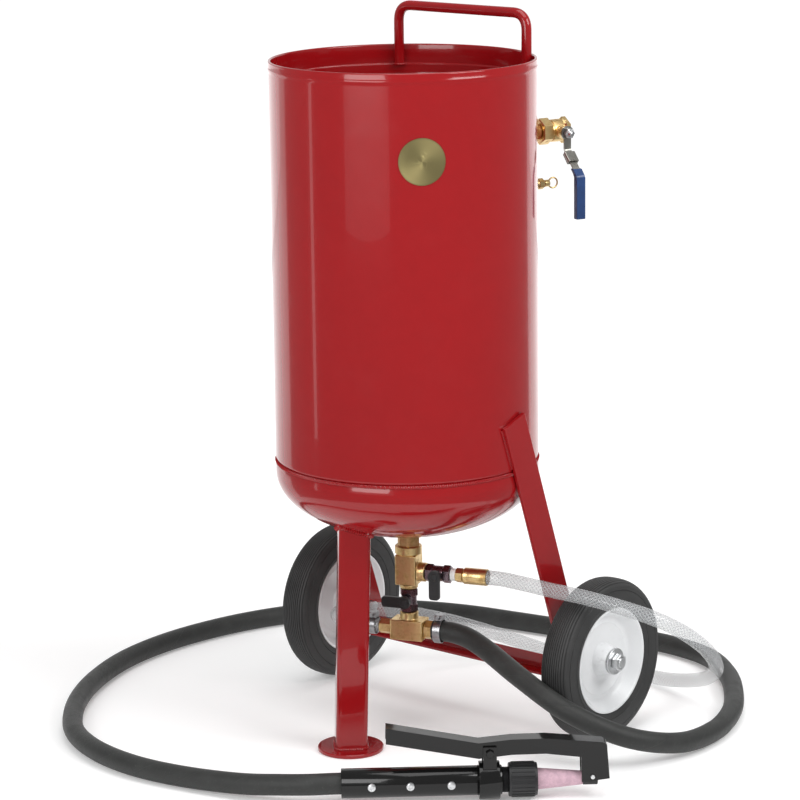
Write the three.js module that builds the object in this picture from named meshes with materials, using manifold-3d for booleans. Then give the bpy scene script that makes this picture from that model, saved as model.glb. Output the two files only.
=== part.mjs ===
// Portable pressure-pot abrasive blaster: a red steel pressure tank on two wheels and a front leg,
// with a pop-up filler in its dished top, an inlet ball valve, a mixing stack of brass tees under
// the tank, a clear air line, and a rubber blast hose that ends in a deadman nozzle handle.
// Millimetres, +Z up, front leg toward -Y, axle along X.
// The origin is on the floor, at the centre of the front foot plate's underside.

import * as THREE from 'three';
import { mergeVertices } from 'three/addons/utils/BufferGeometryUtils.js';
import Module from 'manifold-3d';

const wasm = await Module();
wasm.setup();

// ---------------------------------------------------------------- driving dimensions

const GAP = 0.3;                     // clearance kept between touching pieces
const SHELL_SIDES = 36;              // facets round the tank
const DEG = Math.PI / 180;

const TANK_RADIUS = 203.2;           // 16 inch shell
const TANK_WALL = 4.8;
const TANK_Y = 143;                  // tank axis behind the front foot
const RIM_Z = 1053;
const SEAM_Z = 441;                  // lower edge of the shell, over the joggled bottom head
const HEAD_SKIRT_Z = 420;            // where the bottom head starts to curve in
const HEAD_DEPTH = 100;
const BOWL_EDGE_Z = 1022;            // top edge of the concave top head
const BOWL_SKIRT_Z = 1012;
const BOWL_DEPTH = 76;
const FILLER_RADIUS = 30;
const OUTLET_RADIUS = 23;            // outlet bung under the bottom head
const BORE_OUTLET = 12;

const PORT_ANGLE = 68.5 * DEG;       // inlet and relief ports, from +X toward +Y
const INLET_Z = 923.5;
const RELIEF_Z = 842;
const PORT_RADIUS = 17;              // welded bungs: outer radius, bore and reach outside the shell
const BORE_INLET = 11.8;
const INLET_BUNG = 15;
const RELIEF_PORT_RADIUS = 9;
const BORE_RELIEF = 4.6;
const RELIEF_BUNG = 8;

const HANDLE_TUBE = 16;              // diameter of the push handle's tube
const HANDLE_HALF = 126.5;           // half its width, on centrelines
const HANDLE_Y = 141;                // behind the tank axis
const HANDLE_TOP_Z = 1115;
const HANDLE_CORNER = 26;

const LEG_TUBE = 49;                 // front leg, square tube
const LEG_WALL = 4;
const LEG_CORNER = 8;
const LEG_SPLAY = 2.6 * DEG;
const FOOT_RADIUS = 50.8;
const FOOT_THICK = 6;

const BAR_WIDTH = 50.8;              // rear legs, flat bar
const BAR_THICK = 6.4;
const BAR_TOP = [4, 521];            // centre of the bar's top end: y from the tank axis, z
const BAR_SLOPE = 19.5 * DEG;
const BAR_FOOT_Z = 88;
const ANGLE_LEG = 26;                // axle cross-bar, angle section
const ANGLE_THICK = 4;
const ANGLE_Z = 84.5;
const ANGLE_FRONT_Y = 121;

const WHEEL_RADIUS = 127;
const WHEEL_SIDES = 28;
const WHEEL_X = 267;                 // centre plane of each wheel
const WHEEL_Y = 142;                 // axle behind the tank axis
const TYRE_WIDTH = 50;
const HUB_RADIUS = 83;
const AXLE_RADIUS = 7.9;

const STACK_ANGLE = 20 * DEG;        // direction of the side outlets under the tank
const CHOKE_Z = 253;                 // air line outlet
const MIX_Z = 160;                   // blast outlet
const AIR_HOSE = 23;                 // outer diameters
const BLAST_HOSE = 32;
const CLAMP_EASE = 1.8;              // clamp bore over the hose's radius

const GUN_START = [148, -332.6];     // rear end of the handle tube, from the tank axis
const GUN_ANGLE = 42.7 * DEG;
const GUN_Z = 29;
const GUN_RADIUS = 22;
const PIVOT_X = 218;                 // lever pivot, along and above the gun's axis
const PIVOT_H = 46;
const LEVER_WIDTH = 27;
const NOZZLE_TIP = 355;
const STOPPER_PIN_X = 369;
const STOPPER_PIN_H = 5;

// ---------------------------------------------------------------- finishes

function finish(color, roughness, metalness) {
  return new THREE.MeshStandardMaterial({ color, roughness, metalness });
}

const redPaint = () => finish(0x9b2426, 0.25, 0.1);
const brass = () => finish(0xb9965f, 0.3, 1);
const zinc = () => finish(0xc4c8cc, 0.35, 1);
const steel = () => finish(0x9a9a96, 0.4, 1);
const darkChrome = () => finish(0x554650, 0.3, 0.9);
const blackPaint = () => finish(0x121212, 0.3, 0.2);
const blackPlastic = () => finish(0x1b1b1d, 0.5, 0);
const rubber = () => finish(0x2d2d2d, 0.85, 0);
const whitePaint = () => finish(0xe4e6e8, 0.35, 0.05);
const bluePlastic = () => finish(0x194696, 0.4, 0);

// ---------------------------------------------------------------- shape helpers

/** A turned solid about Z from [radius, z] points that run counter-clockwise. */
function turned(points, segments = 16) {
  const profile = points.map(([r, z]) => new THREE.Vector2(Math.max(r, 0), z));
  return new THREE.LatheGeometry(profile, segments).rotateX(Math.PI / 2);
}

/** A turned ring or sleeve about Z: its profile closes on itself. */
function ring(points, segments = 16) {
  return turned([...points, points[0]], segments);
}

/** A plain sleeve about Z. */
function sleeve(inner, outer, z0, z1, segments = 14) {
  return ring([[outer, z0], [outer, z1], [inner, z1], [inner, z0]], segments);
}

/** A plain round bar about Z. */
function bar(radius, z0, z1, segments = 14) {
  return turned([[0, z0], [radius, z0], [radius, z1], [0, z1]], segments);
}

/** A hexagonal bar about Z. */
function hexBar(acrossFlats, z0, z1) {
  return prism(polygonShape(acrossFlats / Math.sqrt(3), 6), z1 - z0).translate(0, 0, z0);
}

/** A prism that rises along Z from z = 0. */
function prism(shape, depth) {
  return new THREE.ExtrudeGeometry(shape, { depth, bevelEnabled: false, curveSegments: 3 });
}

function polygonShape(radius, sides, turn = 0) {
  const corners = Array.from({ length: sides }, (_, i) => {
    const a = turn + (i * 2 * Math.PI) / sides;
    return new THREE.Vector2(radius * Math.cos(a), radius * Math.sin(a));
  });
  return new THREE.Shape(corners);
}

/** A rectangle with rounded corners, centred on the origin. */
function roundedRect(width, height, radius) {
  const x = width / 2 - radius;
  const y = height / 2 - radius;
  const shape = new THREE.Shape();
  shape.absarc(x, y, radius, 0, Math.PI / 2);
  shape.absarc(-x, y, radius, Math.PI / 2, Math.PI);
  shape.absarc(-x, -y, radius, Math.PI, 1.5 * Math.PI);
  shape.absarc(x, -y, radius, 1.5 * Math.PI, 2 * Math.PI);
  return shape;
}

/** A round tube or bar that follows a curve. */
function alongCurve(curve, radius, sides, steps, bore = 0) {
  const shape = polygonShape(radius, sides);
  if (bore) shape.holes.push(new THREE.Path(polygonShape(bore, sides).getPoints().reverse()));
  return new THREE.ExtrudeGeometry(shape, { steps, extrudePath: curve, bevelEnabled: false });
}

/** A smooth curve through points given in millimetres. */
function through(points) {
  return new THREE.CatmullRomCurve3(points.map((p) => new THREE.Vector3(...p)), false, 'centripetal');
}

/** A closed mesh as a manifold solid, for cutting and joining. */
function solid(shape) {
  const bare = shape.clone();
  bare.deleteAttribute('normal');
  bare.deleteAttribute('uv');
  const merged = mergeVertices(bare, 1e-4);
  return new wasm.Manifold(new wasm.Mesh({
    numProp: 3,
    vertProperties: new Float32Array(merged.attributes.position.array),
    triVerts: new Uint32Array(merged.index.array),
  }));
}

/** A manifold solid back as three.js geometry. */
function geometry(body) {
  const mesh = body.getMesh();
  const result = new THREE.BufferGeometry();
  result.setAttribute('position', new THREE.BufferAttribute(new Float32Array(mesh.vertProperties), 3));
  result.setIndex(new THREE.BufferAttribute(new Uint32Array(mesh.triVerts), 1));
  result.computeVertexNormals();
  return result;
}

function join(...shapes) {
  return geometry(shapes.map(solid).reduce((a, b) => a.add(b)));
}

function cut(shape, ...tools) {
  return geometry(tools.map(solid).reduce((a, b) => a.subtract(b), solid(shape)));
}

/** Turns a shape made about Z so that it lies along +X. */
function lieAlongX(shape) {
  return shape.rotateY(Math.PI / 2);
}

function add(parent, name, shape, material) {
  const mesh = new THREE.Mesh(shape, material);
  mesh.name = name;
  parent.add(mesh);
  return mesh;
}

function groupAt(parent, x, y, z) {
  const group = new THREE.Group();
  group.position.set(x, y, z);
  parent.add(group);
  return group;
}

// ---------------------------------------------------------------- assembly

const blaster = new THREE.Group();
const tank = groupAt(blaster, 0, TANK_Y, 0);

/** Points on an ellipse quarter, from its rim to the axis or to a hole of the given radius. */
function dishPoints(radius, depth, hole, steps) {
  const last = Math.acos(hole / radius);
  return Array.from({ length: steps + 1 }, (_, i) => {
    const a = (last * i) / steps;
    return [radius * Math.cos(a), depth * Math.sin(a)];
  });
}

/** A cylinder along a radial direction of the tank, for the ports. */
function radialBar(radius, from, to, z, angle = PORT_ANGLE) {
  return lieAlongX(bar(radius, from, to)).rotateZ(angle).translate(0, 0, z);
}

function makeTank() {
  const inner = TANK_RADIUS - TANK_WALL;
  const shell = ring([
    [TANK_RADIUS, SEAM_Z], [TANK_RADIUS, RIM_Z - 2], [TANK_RADIUS - 1.2, RIM_Z],
    [inner + 1.2, RIM_Z], [inner, RIM_Z - 2], [inner, SEAM_Z],
  ], SHELL_SIDES);
  // The threaded bungs are welded into the shell and come away with it.
  const bungs = join(
    shell,
    radialBar(PORT_RADIUS, TANK_RADIUS - 11, TANK_RADIUS + INLET_BUNG, INLET_Z),
    radialBar(RELIEF_PORT_RADIUS, TANK_RADIUS - 9, TANK_RADIUS + RELIEF_BUNG, RELIEF_Z),
  );
  add(tank, 'tank_shell', cut(
    bungs,
    radialBar(BORE_INLET, 150, 250, INLET_Z),
    radialBar(BORE_RELIEF, 150, 250, RELIEF_Z),
  ), redPaint());

  const skirt = inner - GAP;
  const dish = dishPoints(TANK_RADIUS, HEAD_DEPTH, OUTLET_RADIUS, 6);
  const dishInside = dishPoints(TANK_RADIUS - TANK_WALL, HEAD_DEPTH - TANK_WALL, BORE_OUTLET, 5);
  const head = HEAD_SKIRT_Z - HEAD_DEPTH;
  add(tank, 'bottom_head', ring([
    [BORE_OUTLET, head - 8], [OUTLET_RADIUS, head - 8],
    ...dish.reverse().map(([r, d]) => [r, HEAD_SKIRT_Z - d]),
    [TANK_RADIUS, SEAM_Z - 8], [skirt, SEAM_Z - GAP], [skirt, SEAM_Z + 26],
    [skirt - TANK_WALL, SEAM_Z + 26], [skirt - TANK_WALL, SEAM_Z - 6],
    ...dishInside.map(([r, d]) => [r, HEAD_SKIRT_Z - d]),
  ], SHELL_SIDES), redPaint());

  // Concave top head with a filler hole and a seat ring welded under it.
  const bowlFloor = BOWL_SKIRT_Z - BOWL_DEPTH - TANK_WALL;
  const seatZ = bowlFloor - 9;
  const bowl = dishPoints(skirt - TANK_WALL, BOWL_DEPTH, FILLER_RADIUS, 5);
  const bowlUnder = dishPoints(skirt, BOWL_DEPTH + TANK_WALL, FILLER_RADIUS + 10, 5);
  add(tank, 'top_head', ring([
    [FILLER_RADIUS, seatZ], [FILLER_RADIUS + 10, seatZ],
    ...bowlUnder.reverse().map(([r, d]) => [r, BOWL_SKIRT_Z - d]),
    [skirt, BOWL_EDGE_Z], [skirt - TANK_WALL, BOWL_EDGE_Z],
    ...bowl.map(([r, d]) => [r, BOWL_SKIRT_Z - d]),
  ], SHELL_SIDES), redPaint());
  add(tank, 'filler_seal', ring([
    [37, seatZ - 5], [38, seatZ - 3], [38, seatZ - GAP], [FILLER_RADIUS - 1, seatZ - GAP],
    [FILLER_RADIUS - 1, seatZ - 3], [FILLER_RADIUS + 2, seatZ - 5],
  ], 20), rubber());

  // The plunger drops open when the tank is empty of air, and air lifts its cone against the seal.
  const crown = bowlFloor - 34;
  add(tank, 'filler_plunger', ring([
    [13, crown - 38], [15.5, crown - 38], [15.5, crown - 16], [35, crown - 9], [35, crown - 5],
    [24, crown + 3], [0, crown + 9], [0, crown - 7], [13, crown - 10],
  ], 18), brass());
  const standpipe = through([
    [TANK_RADIUS - 12, 0, INLET_Z], [168, 0, INLET_Z], [140, 0, INLET_Z - 20], [100, 0, INLET_Z - 76],
    [64, 0, INLET_Z - 100], [32, 0, INLET_Z - 104], [9, 0, INLET_Z - 94], [0, 0, INLET_Z - 76],
    [0, 0, INLET_Z - 62], [0, 0, crown - 13],
  ]);
  add(tank, 'inlet_standpipe', alongCurve(standpipe, 11.5, 8, 15, 8), steel()).rotation.z = PORT_ANGLE;

  // Round plate stuck on the shell, curved to it.
  const plate = solid(sleeve(TANK_RADIUS + GAP, TANK_RADIUS + GAP + 0.8, 880, 970, 96))
    .intersect(solid(radialBar(35, 150, 260, 924.5, -42 * DEG)));
  add(tank, 'round_label', geometry(plate), brass());
}

function makeHandle() {
  const side = HANDLE_HALF;
  const top = HANDLE_TOP_Z;
  const r = HANDLE_CORNER;
  const foot = BOWL_EDGE_Z + GAP;
  const path = new THREE.CurvePath();
  const at = (x, z) => new THREE.Vector3(x, HANDLE_Y, z);
  path.add(new THREE.LineCurve3(at(-side, foot), at(-side, top - r)));
  path.add(new THREE.QuadraticBezierCurve3(at(-side, top - r), at(-side, top), at(-side + r, top)));
  path.add(new THREE.LineCurve3(at(-side + r, top), at(side - r, top)));
  path.add(new THREE.QuadraticBezierCurve3(at(side - r, top), at(side, top), at(side, top - r)));
  path.add(new THREE.LineCurve3(at(side, top - r), at(side, foot)));
  add(tank, 'push_handle', alongCurve(path, HANDLE_TUBE / 2, 8, 30), redPaint());
}

function makeLegs() {
  // Front leg: a square tube with one corner forward, splayed out a little at the foot.
  const top = 420;
  const shape = roundedRect(LEG_TUBE, LEG_TUBE, LEG_CORNER);
  const bore = roundedRect(LEG_TUBE - 2 * LEG_WALL, LEG_TUBE - 2 * LEG_WALL, LEG_CORNER - LEG_WALL);
  shape.holes.push(new THREE.Path(bore.getPoints(2)));
  const tube = prism(shape, top).rotateZ(45 * DEG).rotateX(-LEG_SPLAY).translate(0, -TANK_Y, 0);
  const below = FOOT_THICK + GAP;
  const floorBlock = new THREE.BoxGeometry(200, 200, 100).translate(0, -TANK_Y, below - 50);
  const clear = TANK_RADIUS + GAP;
  const dish = dishPoints(clear, HEAD_DEPTH + GAP, (OUTLET_RADIUS * clear) / TANK_RADIUS, 6);
  const tankBody = turned([
    [0, HEAD_SKIRT_Z - HEAD_DEPTH - GAP], ...dish.reverse().map(([r, d]) => [r, HEAD_SKIRT_Z - d]),
    [clear, 470], [0, 470],
  ], SHELL_SIDES);
  add(tank, 'front_leg', cut(tube, floorBlock, tankBody), redPaint());
  add(blaster, 'foot_plate', bar(FOOT_RADIUS, 0, FOOT_THICK, 32), redPaint());

  // Rear legs: flat bars flush with the shell's sides, sloping back to the axle.
  const [topY, topZ] = BAR_TOP;
  const length = (topZ - BAR_FOOT_Z) / Math.cos(BAR_SLOPE);
  for (const [name, side] of [['left', -1], ['right', 1]]) {
    const blank = new THREE.BoxGeometry(BAR_THICK, BAR_WIDTH, length).translate(0, 0, -length / 2);
    blank.rotateX(BAR_SLOPE).translate(side * (TANK_RADIUS + GAP + BAR_THICK / 2), topY, topZ);
    const hole = lieAlongX(bar(AXLE_RADIUS + GAP, -250, 250)).translate(0, WHEEL_Y, WHEEL_RADIUS);
    add(tank, `rear_leg_${name}`, cut(blank, hole), redPaint());
  }

  // Cross-bar between the rear legs, an angle section with its ledge forward.
  const half = TANK_RADIUS;
  const outline = new THREE.Shape([
    [0, 0], [ANGLE_LEG, 0], [ANGLE_LEG, ANGLE_LEG], [ANGLE_LEG - ANGLE_THICK, ANGLE_LEG],
    [ANGLE_LEG - ANGLE_THICK, ANGLE_THICK], [0, ANGLE_THICK],
  ].map(([y, z]) => new THREE.Vector2(y, z)));
  const angle = prism(outline, 2 * half).rotateX(Math.PI / 2).rotateZ(Math.PI / 2);
  add(tank, 'axle_crossbar', angle.translate(-half, ANGLE_FRONT_Y, ANGLE_Z), redPaint());
}

function makeWheel(name, side) {
  // Built about Z with +Z outboard, then turned so that the axle lies along X.
  const wheel = groupAt(tank, side * WHEEL_X, WHEEL_Y, WHEEL_RADIUS);
  wheel.rotation.y = (side * Math.PI) / 2;
  const half = TYRE_WIDTH / 2;
  const R = WHEEL_RADIUS;
  const face = half - 2.5;
  add(wheel, `tyre_${name}`, ring([
    [HUB_RADIUS + GAP, -face], [HUB_RADIUS + 12, -half], [R - 13, -half], [R - 4, -half + 3.5], [R, -half + 11],
    [R, half - 11], [R - 4, half - 3.5], [R - 13, half], [HUB_RADIUS + 12, half], [HUB_RADIUS + GAP, face],
  ], WHEEL_SIDES), rubber());
  const web = 3;
  const dish = (s) => [[HUB_RADIUS, s * face], [HUB_RADIUS - 3, s * face], [66, s * web], [21, s * web]];
  add(wheel, `hub_${name}`, ring([
    ...dish(-1).reverse(), ...dish(1), [21, 24], [13, 24], [13, -24], [21, -24],
  ], WHEEL_SIDES), whitePaint());
  add(wheel, `hub_bush_${name}`, sleeve(AXLE_RADIUS + GAP, 13 - GAP, -26, 26), blackPlastic());

  // Fixed stub axle, through the leg from inside, with a collar against the leg's outer face.
  const fixed = groupAt(tank, side * WHEEL_X, WHEEL_Y, WHEEL_RADIUS);
  fixed.rotation.y = (side * Math.PI) / 2;
  const legFace = TANK_RADIUS + GAP + BAR_THICK - WHEEL_X;
  const legInner = legFace - BAR_THICK;
  add(fixed, `axle_stub_${name}`, join(
    bar(AXLE_RADIUS, legInner - 9, 42), sleeve(AXLE_RADIUS - 1, 13, legFace + GAP, -27),
  ), zinc());
  add(fixed, `axle_washer_${name}`, sleeve(AXLE_RADIUS + GAP, 21, 27, 29.5, 24), zinc());
  add(fixed, `axle_nut_${name}`, cut(hexBar(24, 30, 40), bar(AXLE_RADIUS + GAP, 20, 50)), zinc());
}

/**
 * A ball valve about its own axes: flow along X, stem along +Z, lever across the flow when shut.
 * The far end may be closer to the stem. Returns the body, and the ball with its stem as one piece.
 */
function ballValve({ half, far = half, endAcross, endLength, waist, bore, boss, bossTop, stem, stemTop }) {
  const ballRadius = bore * 1.45;
  const chamber = ballRadius * 1.07 + GAP;
  const hexEnd = (x0, x1) => lieAlongX(hexBar(endAcross, x0, x1));
  const outer = join(
    hexEnd(-half, -half + endLength),
    hexEnd(far - Math.min(endLength, far / 2), far),
    lieAlongX(bar(waist, -half + 2, far - 2, 18)),
    bar(boss, 0, bossTop),
  );
  const inside = join(lieAlongX(bar(bore, -half - 1, half + 1)), new THREE.SphereGeometry(chamber, 12, 8));
  const body = cut(outer, inside, bar(stem + 0.4, 0, bossTop + 1, 10));
  const ball = cut(
    join(new THREE.SphereGeometry(ballRadius, 12, 8), bar(stem, ballRadius * 0.6, stemTop, 10)),
    bar(bore * 0.98, -half, half).rotateX(Math.PI / 2),
  );
  return { body, ball };
}

function makeInletValve() {
  const along = groupAt(tank, 0, 0, INLET_Z);
  along.rotation.z = PORT_ANGLE;
  const nippleStart = TANK_RADIUS + INLET_BUNG + GAP;
  const middle = 267;
  const half = 30;
  const nipple = sleeve(9.5, 13, nippleStart, middle - half - GAP, 20);
  add(along, 'inlet_nipple', lieAlongX(nipple), brass());

  const valve = groupAt(along, middle, 0, 0);
  valve.rotation.x = Math.PI / 2;
  const { body, ball } = ballValve({
    half, far: 19, endAcross: 36, endLength: 18, waist: 17.3, bore: 10,
    boss: 9.5, bossTop: 34, stem: 4, stemTop: 50,
  });
  add(valve, 'inlet_valve_body', body, brass());
  add(valve, 'inlet_valve_ball', ball, zinc());

  // Lever: an arm that steps outward from the stem, then a straight blade inside a grip.
  const plate = 3;
  const seat = 35;
  const blade = 72;
  const bend = [[-28, seat + 1.5], [-60, blade - 3]];
  const reach = [[9, seat], [-24, seat], ...bend, [-65, blade], [-126, blade]];
  const arm = acrossLever(strip(reach, plate), 12);
  const hub = bar(11, seat, seat + plate);
  const hole = bar(4.4, 0, 80);
  add(valve, 'inlet_valve_lever', cut(join(arm, hub), hole), steel());
  const slope = Math.atan2(bend[1][1] - bend[0][1], bend[0][0] - bend[1][0]);
  const onBend = (y) => bend[0][1] + (bend[0][0] - y) * Math.tan(slope);
  const gripReach = [[-52, onBend(-52) - 3], [-60, blade - 6], [-65, blade - 3], [-129, blade - 3]];
  const grip = acrossLever(strip(gripReach, plate + 6), 15.6);
  const slot = acrossLever(strip(reach.map(([y, z]) => [y, z - GAP]), plate + 2 * GAP), 12 + 2 * GAP);
  add(valve, 'inlet_valve_grip', cut(grip, slot), bluePlastic());
  add(valve, 'inlet_valve_nut', cut(hexBar(14, seat + plate + GAP, 47), hole), zinc());

  // Locking sleeve, free to slide a little along the arm.
  const slopeOfArm = groupAt(valve, 0, -37, onBend(-37) + plate / 2);
  slopeOfArm.rotation.x = -slope;
  const lockOuter = prism(roundedRect(19, 9, 2), 18).translate(0, 0, -9).rotateX(Math.PI / 2);
  const lockBore = new THREE.BoxGeometry(13.4, 30, 5);
  add(slopeOfArm, 'inlet_valve_lock', cut(lockOuter, lockBore), steel());
}

/** A flat strip's side outline: a line of [y, z] points given a thickness upward. */
function strip(points, thick) {
  const upper = points.map(([y, z]) => [y, z + thick]).reverse();
  return new THREE.Shape([...points, ...upper].map(([y, z]) => new THREE.Vector2(y, z)));
}

/** An outline drawn in (y, z), given a width across X and centred on x = 0. */
function acrossLever(outline, width) {
  return prism(outline, width).translate(0, 0, -width / 2).rotateY(Math.PI / 2).rotateX(Math.PI / 2);
}

function makeReliefValve() {
  const along = groupAt(tank, 0, 0, RELIEF_Z);
  along.rotation.z = PORT_ANGLE;
  const start = TANK_RADIUS + RELIEF_BUNG + GAP;
  add(along, 'relief_valve_body', lieAlongX(cut(
    join(hexBar(19, start, start + 16), bar(7.5, start + 10, start + 34), hexBar(15, start + 24, start + 33)),
    bar(3.4, start - 1, start + 40),
  )), brass());
  // Pull rod and ring: pulling the ring outward lifts the valve off its seat.
  const end = start + 34;
  const loop = new THREE.TorusGeometry(8, 1.3, 6, 14).rotateX(Math.PI / 2).translate(end + 17, 0, 0);
  add(along, 'relief_pull_ring', join(lieAlongX(join(
    bar(2.9, start + 4, end + 8, 10), bar(5.5, end + 1, end + 10),
  )), loop), brass());
}

/** A small ball valve with a stubby plastic lever. */
function makeMiniValve(parent, name, half) {
  const { body, ball } = ballValve({
    half, endAcross: 25, endLength: 12, waist: 12, bore: 6, boss: 7, bossTop: 17, stem: 2.6, stemTop: 27,
  });
  add(parent, `${name}_valve_body`, body, darkChrome());
  add(parent, `${name}_valve_ball`, ball, zinc());
  const boss = bar(10, 18, 26);
  const arm = prism(roundedRect(17, 39, 5), 6).translate(0, -17.5, 19);
  add(parent, `${name}_valve_lever`, cut(join(boss, arm), bar(2.8, 0, 40)), blackPlastic());
}

function makeMixingStack() {
  const stack = groupAt(tank, 0, 0, 0);
  stack.rotation.z = STACK_ANGLE;
  const head = HEAD_SKIRT_Z - HEAD_DEPTH - 8 - GAP;
  const tee = { low: 226, width: 34 };
  add(stack, 'outlet_nipple', cut(
    join(hexBar(31, head - 17, head), bar(21, head - 30, head - 17, 18)), bar(10, 250, 340),
  ), brass());
  const teeTop = head - 30 - GAP;
  add(stack, 'air_tee', cut(
    join(
      new THREE.BoxGeometry(tee.width, tee.width, teeTop - tee.low - 7)
        .translate(0, 0, (teeTop + tee.low + 7) / 2),
      bar(14.5, tee.low, tee.low + 10, 18),
      lieAlongX(bar(15, 10, 30, 18)).translate(0, 0, CHOKE_Z),
    ),
    bar(10, 200, 300), lieAlongX(bar(6, 0, 40)).translate(0, 0, CHOKE_Z),
  ), brass());

  // Air side: choke valve, hose end, and the clear line that comes back to the mixing tee.
  const choke = groupAt(stack, 50.3, 0, CHOKE_Z);
  choke.rotation.x = Math.PI / 2;
  makeMiniValve(choke, 'choke', 20);
  const hoseEnd = 79;
  add(stack, 'air_hose_end', cut(lieAlongX(join(
    bar(9.6, 70.3 + GAP, hoseEnd + 1, 16),
    hexBar(20, hoseEnd, hoseEnd + 12),
    bar(13, hoseEnd + 12, hoseEnd + 51, 16),
  )), lieAlongX(bar(6, 60, hoseEnd + 60))).translate(0, 0, CHOKE_Z), brass());

  // Abrasive side: metering valve in the vertical run.
  const metering = groupAt(stack, 0, 0, 207);
  metering.rotation.x = Math.PI / 2;
  const turn = groupAt(metering, 0, 0, 0);
  turn.rotation.z = -Math.PI / 2;
  makeMiniValve(turn, 'metering', 18.5);

  // Mixing tee, with a barb for the air line on the left and one for the blast hose on the right.
  const mixTop = 188.2;
  add(stack, 'mixing_tee', cut(
    join(new THREE.BoxGeometry(54, 34, 32).translate(0, 0, MIX_Z), bar(14.5, MIX_Z, mixTop, 18)),
    bar(8, MIX_Z, 200), lieAlongX(bar(8, -40, 40)).translate(0, 0, MIX_Z),
  ), brass());
  const barb = (from, to, across) => cut(
    lieAlongX(hexBar(across, from, to)), lieAlongX(bar(6, from - 1, to + 1)),
  ).translate(0, 0, MIX_Z);
  add(stack, 'air_return_barb', barb(-48, -27 - GAP, 21), brass());
  add(stack, 'blast_hose_barb', barb(27 + GAP, 40, 26), brass());
  add(stack, 'air_hose_clamp', hoseClamp(AIR_HOSE / 2 + CLAMP_EASE, -66, -54), zinc());
  add(stack, 'blast_hose_clamp', hoseClamp(BLAST_HOSE / 2 + CLAMP_EASE, 44, 56), zinc());
}

/** A worm-drive clamp round a hose that lies along X, with its screw housing on top. */
function hoseClamp(inner, from, to) {
  const band = lieAlongX(sleeve(inner, inner + 1.2, from, to, 18));
  const housing = new THREE.BoxGeometry(to - from + 1, 15, 8).translate((from + to) / 2, 0, inner + 4.4);
  const screw = bar(3.4, -13, 12, 8).rotateX(Math.PI / 2).translate((from + to) / 2, 0, inner + 5);
  return cut(join(band, housing, screw), lieAlongX(bar(inner, from - 2, to + 2, 18))).translate(0, 0, MIX_Z);
}

// ---------------------------------------------------------------- hoses

// Clear air line, from the choke valve's hose end out past the right wheel, down to the floor
// behind it, back over the cross-bar and round into the mixing tee. Points from the tank axis.
const AIR_ROUTE = [
  [122.6, 44.6, 253], [141, 51, 253], [179, 57, 251], [238, 60, 249], [296, 65, 247], [349, 79, 239],
  [393, 106, 223], [420, 143, 198], [428, 185, 167], [418, 229, 134], [394, 272, 103], [360, 311, 76],
  [318, 346, 52], [269, 373, 33], [215, 393, 19], [157, 405, 13], [97, 407, 12.5], [38, 400, 15],
  [-18, 383, 24], [-69, 357, 40], [-111, 321, 59], [-143, 276, 79], [-166, 224, 98], [-177, 169, 116],
  [-180, 112, 133], [-175, 57, 145], [-158, 10, 153], [-129, -20, 158], [-100, -31, 160],
  [-76, -27.7, 160], [-62, -22.6, 160], [-45.4, -16.5, 160],
];

// Blast hose, from the mixing tee down past the front of the right wheel, round behind the
// blaster on the floor, and forward again to the handle. Points from the tank axis.
const BLAST_ROUTE = [
  [37.9, 13.8, 160], [49, 17.8, 160], [62, 22.5, 159.8], [92, 28, 155.5], [130, 24, 146], [222, 3, 119],
  [312, 3, 84], [384, 50, 48], [420, 134, 24], [418, 231, 16.5], [387, 324, 16.5], [335, 407, 16.5],
  [271, 482, 16.5], [193, 539, 16.5], [99, 558, 16.5], [1, 547, 16.5], [-95, 525, 16.5], [-192, 507, 16.5],
  [-288, 487, 16.5], [-378, 450, 16.5], [-456, 392, 16.5], [-515, 315, 16.5], [-554, 226, 16.5],
  [-575, 130, 16.5], [-580, 32, 16.5], [-567, -65, 16.5], [-535, -157, 16.5], [-489, -243, 16.5],
  [-429, -321, 16.5], [-357, -386, 16.5], [-269, -426, 16.5], [-172, -440, 16.5], [-75, -429, 17],
  [21, -406, 21], [74, -387, 26], [113, -365, 28.5], [139.2, -340.7, 29], [170, -312.3, 29],
];

function makeHoses() {
  add(tank, 'air_line', alongCurve(through(AIR_ROUTE), AIR_HOSE / 2, 8, 48), finish(0xdfe2e2, 0.25, 0));
  add(tank, 'blast_hose', alongCurve(through(BLAST_ROUTE), BLAST_HOSE / 2, 8, 60), rubber());
}

// ---------------------------------------------------------------- deadman handle

/** A side outline drawn in (x, z), given a width across Y and centred on y = 0. */
function acrossGun(points, width) {
  const outline = new THREE.Shape(points.map(([x, z]) => new THREE.Vector2(x, z)));
  return prism(outline, width).translate(0, 0, -width / 2).rotateX(Math.PI / 2);
}

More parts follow.
